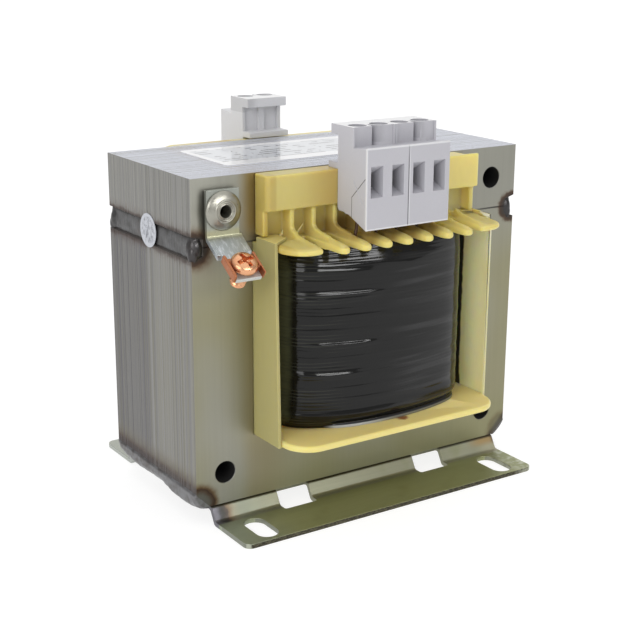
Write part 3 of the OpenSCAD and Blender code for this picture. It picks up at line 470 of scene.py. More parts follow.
def terminal_material(name, tone, tone2):
    m = Mat(name, rough=0.46, spec=0.4, sss=0.12, sss_scale=0.0006)
    m.p.inputs["Subsurface Radius"].default_value = (1.0, 0.95, 0.9)
    x, y, z = m.sep(m.co())
    cloud = m.noise(0.09, 3.0, 0.5)
    spark = m.noise(3.0, 2.0, 0.5)
    col = m.mix(cloud, tone, tone2)
    col = m.shade(col, spark, 0.97, 1.02)
    # painted shade: the wire entries and driver holes darken inward
    ay = m.math("ABSOLUTE", y)
    off = m.math("MULTIPLY", m.math("SUBTRACT", m.math("FRACT", m.math("DIVIDE", x, 6.0)), 0.5), 6.0)
    aoff = m.math("ABSOLUTE", off)
    nx, ny, nzz = m.sep(m.normal())
    entry = m.math("MULTIPLY", m.math("MULTIPLY", m.step(ay, 36.6, 33.0), m.step(ay, 32.6, 32.8)), m.math("MULTIPLY", m.step(z, 79.1, 79.25), m.step(z, 86.5, 86.35)))
    entry = m.math("MULTIPLY", entry, m.step(aoff, 1.74, 1.72))
    pit = m.math("MULTIPLY", m.math("MULTIPLY", entry, 4.0), m.step(ay, 34.3, 33.7, 0.0, 0.95))
    entry = m.math("MULTIPLY", m.math("MULTIPLY", entry, m.step(nzz, 0.3, 0.8, 0.95, 0.10)), m.step(nx, -0.8, -0.4, 0.55, 1.0))
    entry = m.math("MAXIMUM", m.math("MULTIPLY", entry, m.step(nzz, -0.5, -0.8, 1.0, 0.35)), m.math("MINIMUM", pit, 0.95))
    dy = m.math("SUBTRACT", ay, 30.5)
    rad = m.math("SQRT", m.math("ADD", m.math("MULTIPLY", off, off), m.math("MULTIPLY", dy, dy)))
    hole = m.math("MULTIPLY", m.math("MULTIPLY", m.step(z, 92.8, 88.6), m.step(z, 86.5, 86.6)), m.step(rad, 2.30, 2.26))
    dark = m.math("MAXIMUM", entry, hole)
    # painted highlight: a lighter band along the outer edges of the front face, and the faces that look up at the top
    # are painted lighter
    rim = m.math("MULTIPLY", m.math("MAXIMUM", m.step(x, -11.62, -11.8), m.math("MAXIMUM", m.step(z, 90.2, 90.4), m.step(z, 72.15, 71.95))), m.step(ay, 38.2, 38.42))
    lid = m.math("MULTIPLY", m.step(nzz, 0.5, 0.8), m.step(z, 94.0, 94.3))
    # joint between the two blocks
    face = m.math("MULTIPLY", m.step(y, -38.3, -38.5), m.step(z, 90.4, 87.0, 0.4, 1.0))
    col = m.mix(m.math("MULTIPLY", face, m.step(m.math("ABSOLUTE", x), 0.20, 0.10, 0.0, 0.8)), col, lin(104, 103, 108))
    # painted highlight: a light strip along the joint, on the edge of the right block
    col = m.mix(m.math("MULTIPLY", face, m.math("MULTIPLY", m.step(x, 0.18, 0.24), m.step(x, 0.50, 0.40, 0.0, 0.5))), col, lin(238, 238, 240))
    # the towers between the driver holes shade from left to right
    tower = m.math("MULTIPLY", m.math("MULTIPLY", m.step(z, 90.8, 91.0), m.step(ay, 33.7, 33.5)), m.step(m.math("ABSOLUTE", nzz), 0.5, 0.3))
    even = m.step(m.math("FRACT", m.math("DIVIDE", x, 12.0)), 0.49, 0.51, 0.12, 1.0)
    col = m.shade(col, m.math("MULTIPLY", m.math("MULTIPLY", tower, even), m.step(off, 1.2, -2.7)), 1.0, 0.80)
    # outer sides are painted a little lighter, as painted light, and carry a fine parting line
    flank = m.step(m.math("ABSOLUTE", nx), 0.8, 0.95)
    col = m.shade(col, m.math("MULTIPLY", flank, m.step(m.math("ABSOLUTE", x), 11.8, 11.9)), 1.0, 1.07)
    run = m.math("ABSOLUTE", m.math("ADD", m.math("MULTIPLY", m.math("SUBTRACT", 32.9, ay), 0.6828), m.math("MULTIPLY", m.math("SUBTRACT", z, 78.7), 0.7306)))
    slant = m.math("MULTIPLY", m.step(run, 0.15, 0.08), m.math("MULTIPLY", m.step(ay, 32.8, 32.9), m.step(ay, 38.3, 38.2)))
    post = m.math("MULTIPLY", m.step(m.math("ABSOLUTE", m.math("SUBTRACT", ay, 32.9)), 0.14, 0.07), m.step(z, 78.8, 78.7))
    part = m.math("MULTIPLY", m.math("MAXIMUM", slant, post), m.math("MULTIPLY", flank, m.step(m.math("ABSOLUTE", x), 11.8, 11.9)))
    col = m.mix(m.math("MULTIPLY", part, 0.85), col, lin(86, 84, 84))
    col = m.mix(m.math("MULTIPLY", m.math("MAXIMUM", m.math("MULTIPLY", rim, 0.65), lid), 0.85), col, lin(246, 246, 246))
    col = m.mix(m.step(dark, 0.0, 1.0, 0.0, 0.97), col, lin(18, 18, 20))
    m.set(base=col, rough=m.step(cloud, 0.3, 0.7, 0.40, 0.52), normal=m.bump(spark, 0.02, 0.6))
    return m.m


def metal_material(name, a, b, rough, metal=1.0, scale=0.5, scratch=(1, 1, 1), depth=0.02, coat=0.0):
    m = Mat(name, metal=metal, rough=rough, coat=coat, coat_rough=0.2)
    cloud = m.noise(scale, 3.0, 0.6)
    scr = m.noise(1.0, 3.0, 0.65, scratch, (4, 4, 4))
    col = m.shade(m.mix(cloud, a, b), scr, 0.88, 1.08)
    m.set(base=col, rough=m.step(scr, 0.25, 0.75, rough - 0.08, rough + 0.1),
          normal=m.bump(m.math("ADD", m.math("MULTIPLY", cloud, 0.8), m.math("MULTIPLY", scr, 0.4)), depth, 0.7))
    return m.m


def tab_material():
    m = Mat("zinc_tab", metal=0.75, rough=0.3)
    x, y, z = m.sep(m.co())
    cloud = m.noise(0.25, 3.0, 0.6, (1, 1, 1.5))
    scr = m.noise(1.0, 3.0, 0.65, (2.4, 0.5, 0.5))
    col = m.mix(cloud, lin(140, 144, 137), lin(164, 167, 159))
    low = m.step(z, 75.5, 71.6)
    col = m.mix(m.math("MULTIPLY", low, m.step(z, 69.8, 71.2, 0.0, 0.6)), col, m.mix(m.step(z, 73.4, 72.2), lin(182, 186, 172), lin(190, 187, 142)))
    # the bent tongue is paler, with bright scratches
    col = m.mix(m.step(z, 71.4, 70.2, 0.0, 0.8), col, m.mix(m.step(scr, 0.48, 0.66), lin(176, 183, 186), lin(212, 218, 224)))
    col = m.shade(col, scr, 0.90, 1.06)
    tip = m.step(z, 67.2, 66.0)
    col = m.mix(m.math("MULTIPLY", tip, 0.8), col, lin(212, 214, 210))
    m.set(base=col, metal=m.step(z, 66.0, 67.2, 0.15, 0.75), rough=m.step(cloud, 0.3, 0.7, 0.26, 0.42),
          normal=m.bump(m.math("ADD", cloud, m.math("MULTIPLY", scr, 0.5)), 0.05, 0.7))
    return m.m


def label_material():
    m = Mat("label_film", rough=0.14, spec=0.5, coat=0.6, coat_rough=0.05)
    x, y, z = m.sep(m.co())
    # plain grey print: rows of short bars, broken into columns, inside a white rim
    inside = m.math("MULTIPLY", m.step(m.math("ABSOLUTE", x), 31.0, 30.7), m.step(m.math("ABSOLUTE", m.math("SUBTRACT", y, 2.1)), 8.6, 8.3))
    row = m.math("FRACT", m.math("MULTIPLY", y, 0.42))
    bar_y = m.math("MULTIPLY", m.step(row, 0.22, 0.28), m.step(row, 0.62, 0.56))
    rid = m.math("FLOOR", m.math("MULTIPLY", y, 0.42))
    cut = m.white(m.math("ADD", m.math("MULTIPLY", rid, 37.0), m.math("FLOOR", m.math("MULTIPLY", x, 0.55))))
    bar_x = m.step(cut, 0.42, 0.46)
    col_gap = m.step(m.math("ABSOLUTE", m.math("SUBTRACT", m.math("FRACT", m.math("ADD", m.math("MULTIPLY", x, 0.05), 0.5)), 0.5)), 0.06, 0.08)
    ink = m.math("MULTIPLY", m.math("MULTIPLY", bar_y, bar_x), m.math("MULTIPLY", inside, col_gap))
    field = m.mix(inside, lin(250, 250, 251), lin(220, 223, 228))
    col = m.mix(m.math("MULTIPLY", ink, 0.92), field, lin(72, 74, 80))
    wave = m.noise(0.06, 2.0, 0.5)
    m.set(base=col, rough=m.step(wave, 0.3, 0.7, 0.10, 0.18), normal=m.bump(wave, 0.12, 0.5))
    return m.m


def sticker_material():
    m = Mat("foil_sticker", metal=0.35, rough=0.34, coat=0.3, coat_rough=0.1)
    crumple = m.noise(0.45, 3.0, 0.6, (1, 1, 1), (2, 2, 2), 0.8)
    fine = m.noise(1.6, 2.0, 0.5)
    col = m.mix(crumple, lin(172, 175, 183), lin(204, 207, 214))
    col = m.shade(col, fine, 0.93, 1.03)
    x, y, z = m.sep(m.co())
    dy, dz = m.math("ADD", y, 0.2), m.math("SUBTRACT", z, 69.0)
    rad = m.math("SQRT", m.math("ADD", m.math("MULTIPLY", dy, dy), m.math("MULTIPLY", dz, dz)))
    fleck = m.step(m.noise(1.1, 3.0, 0.6, (1, 1, 0.7), (6, 1, 3)), 0.46, 0.60)
    col = m.mix(m.math("MULTIPLY", m.step(rad, 3.5, 3.0, 0.0, 0.75), fleck), col, lin(112, 114, 122))
    m.set(base=col, rough=m.step(crumple, 0.3, 0.7, 0.26, 0.42), normal=m.bump(m.math("ADD", crumple, m.math("MULTIPLY", fine, 0.3)), 0.25, 0.7))
    return m.m


def winding_material(name, a, b, pitch):
    m = Mat(name, metal=0.6, rough=0.3, coat=0.5, coat_rough=0.12)
    x, y, z = m.sep(m.co())
    turn = m.math("ABSOLUTE", m.math("SUBTRACT", m.math("FRACT", m.math("DIVIDE", z, pitch)), 0.5))
    col = m.mix(m.noise(0.2, 2.0), a, b)
    col = m.shade(col, m.step(turn, 0.5, 0.2), 0.45, 1.0)
    m.set(base=col, normal=m.bump(m.step(turn, 0.5, 0.0), 0.25, 0.8))
    return m.m


def film_material(name, tone, tone2):
    m = Mat(name, rough=0.22, spec=0.5, sss=0.3, sss_scale=0.0005)
    c = m.noise(0.3, 3.0, 0.6)
    col = m.mix(c, tone, tone2)
    m.set(base=col, rough=m.step(c, 0.3, 0.7, 0.16, 0.3), normal=m.bump(c, 0.06, 0.6))
    return m.m


M_E = core_material("core_sheets_e", 3.0)
M_I = core_material("core_sheets_i", 41.0)
M_SEAM = weld_material("seam_weld", lin(86, 86, 87), lin(68, 67, 66), 0.34, True)
M_BASE = weld_material("base_weld", lin(122, 122, 124), lin(90, 86, 84), 0.36)
M_FOOT = foot_material()
M_BOBBIN = bobbin_material()
M_SHIELD_L = shield_material("pressed_sheet_left", lin(176, 167, 110), lin(184, 176, 120), 0.4)
# painted light: the right sheet is given a much paler tone than the left, to lift the shade it stands in beside the
# winding
M_SHIELD_R_LIT = shield_material("pressed_sheet_right_lit", lin(250, 247, 206), lin(254, 252, 218), 0.9, True)
M_WRAP = wrap_material()
M_TERM = terminal_material("terminal_housing", lin(188, 187, 193), lin(195, 194, 200))
# painted light: the rear block is the same grey plastic, painted lighter for the stronger light it gets
M_TERM_REAR_LIT = terminal_material("terminal_housing_rear_lit", lin(213, 213, 216), lin(220, 220, 222))
M_COPPER = metal_material("copper_plating", lin(216, 146, 106), lin(240, 190, 148), 0.28, 0.9, 0.4, (1.2, 1.2, 1.2), 0.03)
M_SADDLE = metal_material("copper_clip", lin(160, 97, 65), lin(190, 126, 90), 0.32, 0.9, 0.4, (1.2, 1.2, 1.2), 0.03)
M_ZINC = tab_material()
M_RIVET = metal_material("rivet_alloy", lin(150, 149, 139), lin(174, 172, 162), 0.34, 0.95, 0.3, (0.9, 0.9, 0.9), 0.008)
M_PLATED = metal_material("plated_steel", lin(170, 170, 168), lin(200, 200, 196), 0.3, 1.0, 0.6, (2, 2, 2), 0.02)
M_BRASS = metal_material("brass_cage", lin(176, 150, 86), lin(198, 172, 108), 0.32, 1.0, 0.5, (2, 2, 2), 0.02)
M_LABEL = label_material()
M_STICKER = sticker_material()
M_PRIMARY = winding_material("enamelled_primary", lin(84, 44, 20), lin(104, 56, 26), 0.42)
M_SECOND = winding_material("enamelled_secondary", lin(70, 40, 20), lin(92, 52, 26), 0.8)
M_LEAD = metal_material("enamelled_lead", lin(58, 36, 16), lin(84, 52, 24), 0.34, 0.5, 0.6, (1, 1, 1), 0.02, 0.4)
M_FILM = film_material("insulation_film", lin(120, 106, 66), lin(140, 128, 86))
M_FILM_EDGE = film_material("insulation_film_edge", lin(196, 178, 112), lin(212, 196, 134))


# ------------------------------------------------------------------ mesh helpers
def make(name, bm, mats, node=None, angle=40.0, weighted=True):
    me = bpy.data.meshes.new(name)
    bm.normal_update()
    bm.to_mesh(me)
    bm.free()
    o = bpy.data.objects.new(name, me)
    bpy.context.scene.collection.objects.link(o)
    for x in mats if isinstance(mats, (list, tuple)) else [mats]:
        me.materials.append(x)
    for p in me.polygons:
        p.use_smooth = True
    me.set_sharp_from_angle(angle=math.radians(angle))
    if weighted:
        w = o.modifiers.new("face_normals", "WEIGHTED_NORMAL")
        w.keep_sharp = True
    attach(o, "root")
    if node:
        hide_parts(*([node] if isinstance(node, str) else node))
    return o


def clean_cad(node):
    """The node's solid as a mesh with one polygon for each flat face."""
    bm = bmesh.new()
    bm.from_mesh(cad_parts[node].data)
    bmesh.ops.remove_doubles(bm, verts=bm.verts, dist=2e-6)
    bmesh.ops.dissolve_limit(bm, angle_limit=math.radians(0.5), use_dissolve_boundaries=False,
                             verts=bm.verts, edges=bm.edges, delimit=set())
    bmesh.ops.recalc_face_normals(bm, faces=bm.faces)
    return bm


def round_edges(bm, width, segs=2, lo=35.0, hi=181.0, concave=True, where=None, clamp=False):
    """Rounds the edges whose faces meet at an angle between lo and hi degrees."""
    es = []
    for e in bm.edges:
        if len(e.link_faces) != 2:
            continue
        a = math.degrees(e.calc_face_angle(0.0))
        if lo <= a <= hi and (concave or e.is_convex) and (where is None or where(e)):
            es.append(e)
    if es:
        bmesh.ops.bevel(bm, geom=es, offset=width * MM, offset_type="OFFSET", segments=segs, profile=0.5,
                        affect="EDGES", clamp_overlap=clamp, loop_slide=True, miter_outer="SHARP", material=-1)
    return bm


def mid(e):
    return (e.verts[0].co + e.verts[1].co) / (2 * MM)


def grid_solid(rows, closed=False):
    """Closed skin from rows of points, each row a closed loop of the same length; ends are capped."""
    bm = bmesh.new()
    vs = [[bm.verts.new(p) for p in r] for r in rows]
    n = len(vs[0])
    for a, b in zip(vs, vs[1:]):
        for i in range(n):
            j = (i + 1) % n
            bm.faces.new((a[i], a[j], b[j], b[i]))
    if not closed:
        bm.faces.new(list(reversed(vs[0])))
        bm.faces.new(vs[-1])
    else:
        a, b = vs[-1], vs[0]
        for i in range(n):
            j = (i + 1) % n
            bm.faces.new((a[i], a[j], b[j], b[i]))
    bmesh.ops.recalc_face_normals(bm, faces=bm.faces)
    return bm


def ellipsoid(bm, c, r, rot=None, seg=28):
    mat = Matrix.Translation(c) @ (rot or Matrix.Identity(4)) @ Matrix.Diagonal((*[x * MM for x in r], 1.0))
    bmesh.ops.create_uvsphere(bm, u_segments=seg, v_segments=seg // 2, radius=1.0, matrix=mat)


def fuse(bm, voxel, smooth=4, factor=0.5):
    """Melts overlapping closed shells into one skin."""
    me = bpy.data.meshes.new("fuse")
    bm.to_mesh(me)
    bm.free()
    o = bpy.data.objects.new("fuse", me)
    bpy.context.scene.collection.objects.link(o)
    r = o.modifiers.new("r", "REMESH")
    r.mode = "VOXEL"
    r.voxel_size = voxel * MM
    if smooth:
        s = o.modifiers.new("s", "SMOOTH")
        s.iterations = smooth
        s.factor = factor
    dg = bpy.context.evaluated_depsgraph_get()
    got = bpy.data.meshes.new_from_object(o.evaluated_get(dg))
    bpy.data.objects.remove(o)
    bpy.data.meshes.remove(me)
    out = bmesh.new()
    out.from_mesh(got)
    bpy.data.meshes.remove(got)
    return out


def lathe(profile, centre, axis_mat, seg=64, close=False):
    """Revolved skin; profile is (radius, height) in mm, axis_mat turns local z to the axis."""
    bm = bmesh.new()
    rings = []
    for r, h in profile:
        if r <= 1e-6:
            rings.append([bm.verts.new(centre + axis_mat @ Vector((0, 0, h * MM)))])
        else:
            rings.append([bm.verts.new(centre + axis_mat @ Vector((r * MM * math.cos(t), r * MM * math.sin(t), h * MM)))
                          for t in (2 * math.pi * i / seg for i in range(seg))])
    pairs = list(zip(rings, rings[1:])) + ([(rings[-1], rings[0])] if close else [])
    for a, b in pairs:
        for i in range(seg):
            j = (i + 1) % seg
            q = [a[i % len(a)], a[j % len(a)], b[j % len(b)], b[i % len(b)]]
            q = [v for k, v in enumerate(q) if v not in q[:k]]
            if len(q) > 2:
                bm.faces.new(q)
    bmesh.ops.recalc_face_normals(bm, faces=bm.faces)
    return bm


def boolean(bm, cutters, op="DIFFERENCE"):
    """bm with each cutter (a bmesh) taken away."""
    me = bpy.data.meshes.new("b")
    bm.to_mesh(me)
    bm.free()
    o = bpy.data.objects.new("b", me)
    bpy.context.scene.collection.objects.link(o)
    temp = []
    for c in cutters:
        cm = bpy.data.meshes.new("c")
        c.to_mesh(cm)
        c.free()
        co = bpy.data.objects.new("c", cm)
        bpy.context.scene.collection.objects.link(co)
        k = o.modifiers.new("k", "BOOLEAN")
        k.operation, k.solver, k.object = op, "EXACT", co
        temp.append((co, cm))
    dg = bpy.context.evaluated_depsgraph_get()
    got = bpy.data.meshes.new_from_object(o.evaluated_get(dg))
    for co, cm in temp:
        bpy.data.objects.remove(co)
        bpy.data.meshes.remove(cm)
    bpy.data.objects.remove(o)
    bpy.data.meshes.remove(me)
    out = bmesh.new()
    out.from_mesh(got)
    bpy.data.meshes.remove(got)
    return out


def box_bm(a, b, mat=None):
    bm = bmesh.new()
    bmesh.ops.create_cube(bm, size=1.0)
    for v in bm.verts:
        v.co = Vector([(a[i] + b[i]) / 2 + v.co[i] * (b[i] - a[i]) for i in range(3)]) * MM
        if mat is not None:
            v.co = mat @ v.co
    return bm


# ------------------------------------------------------------------ core
HOLE_R = 2.75
HALF = 48.0


def offset_loop(pts, d):
    """Closed outline moved outward by d (mitred); pts run anticlockwise."""
    out = []
    n = len(pts)
    for i in range(n):
        (x0, z0), (x1, z1), (x2, z2) = pts[i - 1], pts[i], pts[(i + 1) % n]
        a = Vector((x1 - x0, z1 - z0)).normalized()
        b = Vector((x2 - x1, z2 - z1)).normalized()
        na, nb = Vector((a.y, -a.x)), Vector((b.y, -b.x))
        m = na + nb
        m = m / max(0.3, m.dot(na)) if m.length > 1e-6 else na
        out.append((x1 + m.x * d, z1 + m.y * d))
    return out


def sheet_stack(outline, holes, seed, groove):
    """Skin of a stack of 86 sheets: every sheet's cut edge stands in or out a few hundredths of a millimetre."""
    bm = bmesh.new()
    n = 86
    stations = [(0.0, -0.10, True), (0.10, 0.0, False)]
    t = STACK / n
    for k in range(n):
        d = 0.045 * nz(k * 7.31 + seed, seed) + 0.02 * nz(k * 0.21 + seed, 2.0)
        if k == 0 or k == n - 1:
            d = 0.0
        y0, y1 = k * t, (k + 1) * t
        if k:
            stations.append((y0 + 0.06, d, False))
        if k < n - 1:
            stations += [(y1 - 0.06, d, False), (y1, d - 0.07, False)]
    stations += [(STACK - 0.10, 0.0, False), (STACK, -0.10, True)]
    loops = []
    for y, d, _ in stations:
        yy = min(y, STACK - y)
        lim = HALF - max(0.0, 3.1 - yy)
        ring = []
        for (x, z), (ox, oz) in zip(offset_loop(outline, d), outline):
            if groove[0] < oz < groove[1]:
                x = math.copysign(min(abs(x), lim), x) if abs(ox) > 40 else x
            ring.append(bm.verts.new(P(x, y, z)))
        loops.append(ring)
    m = len(outline)
    for a, b in zip(loops, loops[1:]):
        for i in range(m):
            j = (i + 1) % m
            bm.faces.new((a[i], b[i], b[j], a[j]))
    ends = {0: [loops[0]], 1: [loops[-1]]}
    for hx, hz in holes:
        rings = []
        for y, r in ((0.0, HOLE_R + 0.12), (0.12, HOLE_R), (STACK - 0.12, HOLE_R), (STACK, HOLE_R + 0.12)):
            rings.append([bm.verts.new(P(hx + r * math.cos(q), y, hz + r * math.sin(q)))
                          for q in (2 * math.pi * i / 48 for i in range(48))])
        for a, b in zip(rings, rings[1:]):
            for i in range(48):
                j = (i + 1) % 48
                bm.faces.new((a[i], a[j], b[j], b[i]))
        ends[0].append(rings[0])
        ends[1].append(rings[-1])
    for rings in ends.values():
        edges = []
        for ring in rings:
            for i, v in enumerate(ring):
                e = bm.edges.get((v, ring[(i + 1) % len(ring)]))
                edges.append(e)
        bmesh.ops.triangle_fill(bm, use_beauty=True, use_dissolve=False, edges=edges)
    bmesh.ops.recalc_face_normals(bm, faces=bm.faces)
    return bm


e_outline = [(-44.4, 0), (44.4, 0), (48, 3.6), (48, 61.1), (46.7, 62.0), (46.7, 64), (32, 64), (32, 16), (16, 16), (16, 64),
             (-16, 64), (-16, 16), (-32, 16), (-32, 64), (-46.7, 64), (-46.7, 62.0), (-48, 61.1), (-48, 3.6)]
i_outline = [(-46.7, 64), (46.7, 64), (46.7, 65.8), (48, 66.7), (48, 80), (-48, 80), (-48, 66.7), (-46.7, 65.8)]
make("core_e_sheets", sheet_stack(e_outline, [(-40, 8), (40, 8)], 1.7, (61.3, 66.5)), M_E, "e_core_stack", 30, False)
make("core_i_sheets", sheet_stack(i_outline, [(-40, 72), (40, 72)], 8.3, (63.0, 66.5)), M_I, "i_core_stack", 30, False)


# ------------------------------------------------------------------ welds
def seam_weld(s, seed):
    """Flat bead in the groove with a melted pool round each corner."""
    rows, ny, nv = [], 150, 26
    low = 0.0 if s < 0 else 0.62            # the right bead lies deeper in its groove
    for k in range(ny + 1):
        y = 0.5 + (STACK - 1.0) * k / ny
        ring = []
        w = 2.96 + 0.14 * nz(y * 0.35, seed)
        zc = 63.85 + 0.16 * nz(y * 0.2, seed + 4)
        for i in range(nv + 1):
            u = -1 + 2 * i / nv
            hump = max(0.0, 1 - abs(u) ** 2.6) ** 0.6
            ripple = 0.012 * math.sin(2 * math.pi * (y + 0.55 * u * u + 0.25 * nz(y, seed)) / 1.25) * hump
            x = 47.2 - low + 0.5 * hump + ripple + 0.12 * nz(y * 0.3, u * 1.2, seed) * hump
            ring.append(P(s * x, y, zc + w * u))
        ring += [P(s * 45.4, y, zc + w), P(s * 45.4, y, zc - w)]
        rows.append(ring)
    bm = grid_solid(rows)
    for f, y in ((1, 0.0), (-1, STACK)):
        ellipsoid(bm, P(s * (46.35 - low), y + f * 1.75, 63.5), (2.0, 2.15, 3.05))
        ellipsoid(bm, P(s * (47.05 - 1.5 * low), y + f * 0.95, 62.3), (1.3, 1.32, 2.25))
        ellipsoid(bm, P(s * (46.7 - low), y + f * 3.2, 63.75), (1.15, 2.4, 2.75))
    return fuse(bm, 0.17, 8)


make("seam_weld_left", seam_weld(-1, 2.0), M_SEAM, "weld_seam_left", 60, False)
make("seam_weld_right", seam_weld(1, 6.0), M_SEAM, "weld_seam_right", 60, False)

BULGE = [(-0.3, 1.1), (1.2, 1.9), (3.5, 2.35), (7.0, 2.5), (12.2, 2.45), (15.4, 2.05), (18.5, 1.7), (23.5, 1.72), (28.0, 1.92),
         (32.5, 2.05), (37.0, 1.85), (41.0, 1.5), (43.3, 0.5)]


def base_weld(s, seed, flip):
    """Rippled fillet along the chamfered bottom corner, fuller where it takes in the rails."""
    rows, ny, nv = [], 190, 22
    for k in range(ny + 1):
        y = 0.02 + (STACK - 0.04) * k / ny
        yy = STACK - y if flip else y
        b = interp(BULGE, yy) + 0.10 * nz(y * 0.6, seed)
        a = 2.75 + 0.15 * nz(y * 0.4, seed + 3)
        ring = []
        for i in range(nv + 1):
            th = math.pi * i / nv
            rip = 0.03 * math.sin(2 * math.pi * (y - 0.9 * math.sin(th) + 0.3 * nz(y * 0.8, seed)) / 1.15) * math.sin(th)
            lump = 0.09 * nz(y * 0.6, th * 1.3, seed) * math.sin(th)
            bb = b * math.sin(th) ** 0.85 + rip + lump if 0 < i < nv else 0.0
            aa = a * math.cos(th)
            x = -46.2 - aa * 0.7071 - bb * 0.7071
            z = 1.8 + aa * 0.7071 - bb * 0.7071
            ring.append(P(-s * max(x, -48.4), y, z))
        ring += [P(-s * -43.6, y, 0.4), P(-s * -47.6, y, 4.4)]
        rows.append(ring)
    return fuse(grid_solid(rows), 0.17, 7)


make("base_weld_left", base_weld(-1, 3.0, False), M_BASE, "weld_base_left", 60, False)
make("base_weld_right", base_weld(1, 9.0, True), M_BASE, "weld_base_right", 60, False)


# ------------------------------------------------------------------ rails
for node, name in (("front_foot_rail", "rail_front"), ("rear_foot_rail", "rail_rear")):
    bm = clean_cad(node)
    round_edges(bm, 0.22, 3, 12, 40)
    round_edges(bm, 0.13, 2, 50)
    make(name, bm, M_FOOT, node, 45)

# ------------------------------------------------------------------ bobbin and shields
def thin_out(bm, ratio):
    """Fewer triangles, shape kept."""
    me = bpy.data.meshes.new("t")
    bm.to_mesh(me)
    bm.free()
    o = bpy.data.objects.new("t", me)
    bpy.context.scene.collection.objects.link(o)
    k = o.modifiers.new("k", "DECIMATE")
    k.ratio = ratio
    dg = bpy.context.evaluated_depsgraph_get()
    got = bpy.data.meshes.new_from_object(o.evaluated_get(dg))
    bpy.data.objects.remove(o)
    bpy.data.meshes.remove(me)
    out = bmesh.new()
    out.from_mesh(got)
    bpy.data.meshes.remove(got)
    return out


def comb_box(front):
    y0, y1 = (-30.0, -0.10) if front else (STACK + 0.10, STACK + 30.0)
    return box_bm((-40, y0 + DY, 61.0 + DZ), (40, y1 + DY, 90.0 + DZ))


def on_flange_rim(e):
    q = mid(e)
    x, y, z = q.x, q.y - DY, q.z - DZ
    a, b = e.verts[0].co.z / MM - DZ, e.verts[1].co.z / MM - DZ
    level = abs(a - b) < 0.01 and (abs(a - 16.0) < 0.02 or abs(a - 17.6) < 0.02)
    return level and e.is_convex and (abs(x) > 30.5 or y < -3.5 or y > STACK + 3.5) and (y < -0.3 or y > STACK + 0.3)


bm = boolean(clean_cad("bobbin"), [comb_box(True), comb_box(False)])
bmesh.ops.remove_doubles(bm, verts=bm.verts, dist=2e-6)
bmesh.ops.dissolve_limit(bm, angle_limit=math.radians(0.5), use_dissolve_boundaries=False, verts=bm.verts, edges=bm.edges)
round_edges(bm, 0.62, 5, 60, 120, False, on_flange_rim)
make("bobbin_moulding", bm, M_BOBBIN, "bobbin", 45)
for front in (True, False):
    bm = boolean(clean_cad("bobbin"), [comb_box(front)], "INTERSECT")
    if front:
        bm = boolean(bm, [box_bm((23.1, -5.4 + DY, 65.7 + DZ), (24.9, -1.45 + DY, 71.55 + DZ)),
                          box_bm((27.2, -4.4 + DY, 78.5 + DZ), (33.0, 1.0 + DY, 82.0 + DZ))])
    else:
        bm = boolean(bm, [box_bm((-40, STACK - 1 + DY, 79.45 + DZ), (40, STACK + 9 + DY, 82 + DZ))])
    bm = fuse(bm, 0.25, 4)
    tips = [v for v in bm.verts if abs(v.co.y) / MM > 21.5 + 6.6 and v.co.z / MM - DZ < 67.0]
    ends = [v for v in tips if abs(v.co.y) / MM > 21.5 + 11.5]
    outer = [v for v in tips if abs(v.co.x) / MM > 20.8]
    for group, times in ((tips, 10), (ends, 30), (outer, 30)):
        for _ in range(times):
            bmesh.ops.smooth_vert(bm, verts=group, factor=0.5, use_axis_x=True, use_axis_y=True, use_axis_z=True)
    if not front:
        for v in bm.verts:                  # the carrier's left end drops away
            x, z = v.co.x / MM, v.co.z / MM - DZ
            if x < -27.0 and z > 75.0:
                v.co.z -= 1.3 * MM * ((-27.0 - x) / 4.3) ** 2 * sstep(75.0, 79.0, z)
    make("bobbin_comb_" + ("front" if front else "rear"), thin_out(bm, 0.5), M_BOBBIN, None, 60, False)

def top_corner(rear):
    """What is cut from an upper corner of the upright sheet so that it ends in a wide curve."""
    pts = [(-5.6, 65.4), (-6.4, 64.95), (-7.6, 64.5), (-8.8, 63.95), (-9.8, 63.35), (-10.7, 62.5), (-13.0, 62.5), (-13.0, 67.0), (-5.6, 67.0)]
    if rear:
        pts = [(STACK - y, z) for y, z in reversed(pts)]
    return grid_solid([[P(x, y, z) for y, z in pts] for x in (31.12, 32.4)])


for node in ("left_winding_shield", "right_winding_shield"):
    bm = clean_cad(node)
    if node.startswith("right"):
        bm = boolean(bm, [top_corner(False), top_corner(True), box_bm((25.5, -13 + DY, 64.3 + DZ), (31.1, -3.5 + DY, 66.5 + DZ))])
        bmesh.ops.remove_doubles(bm, verts=bm.verts, dist=2e-6)
        bmesh.ops.dissolve_limit(bm, angle_limit=math.radians(0.5), use_dissolve_boundaries=False, verts=bm.verts, edges=bm.edges)
    round_edges(bm, 0.14, 2, 40)
    make(node + "_sheet", bm, M_SHIELD_L if node.startswith("left") else M_SHIELD_R_LIT, node, 45)


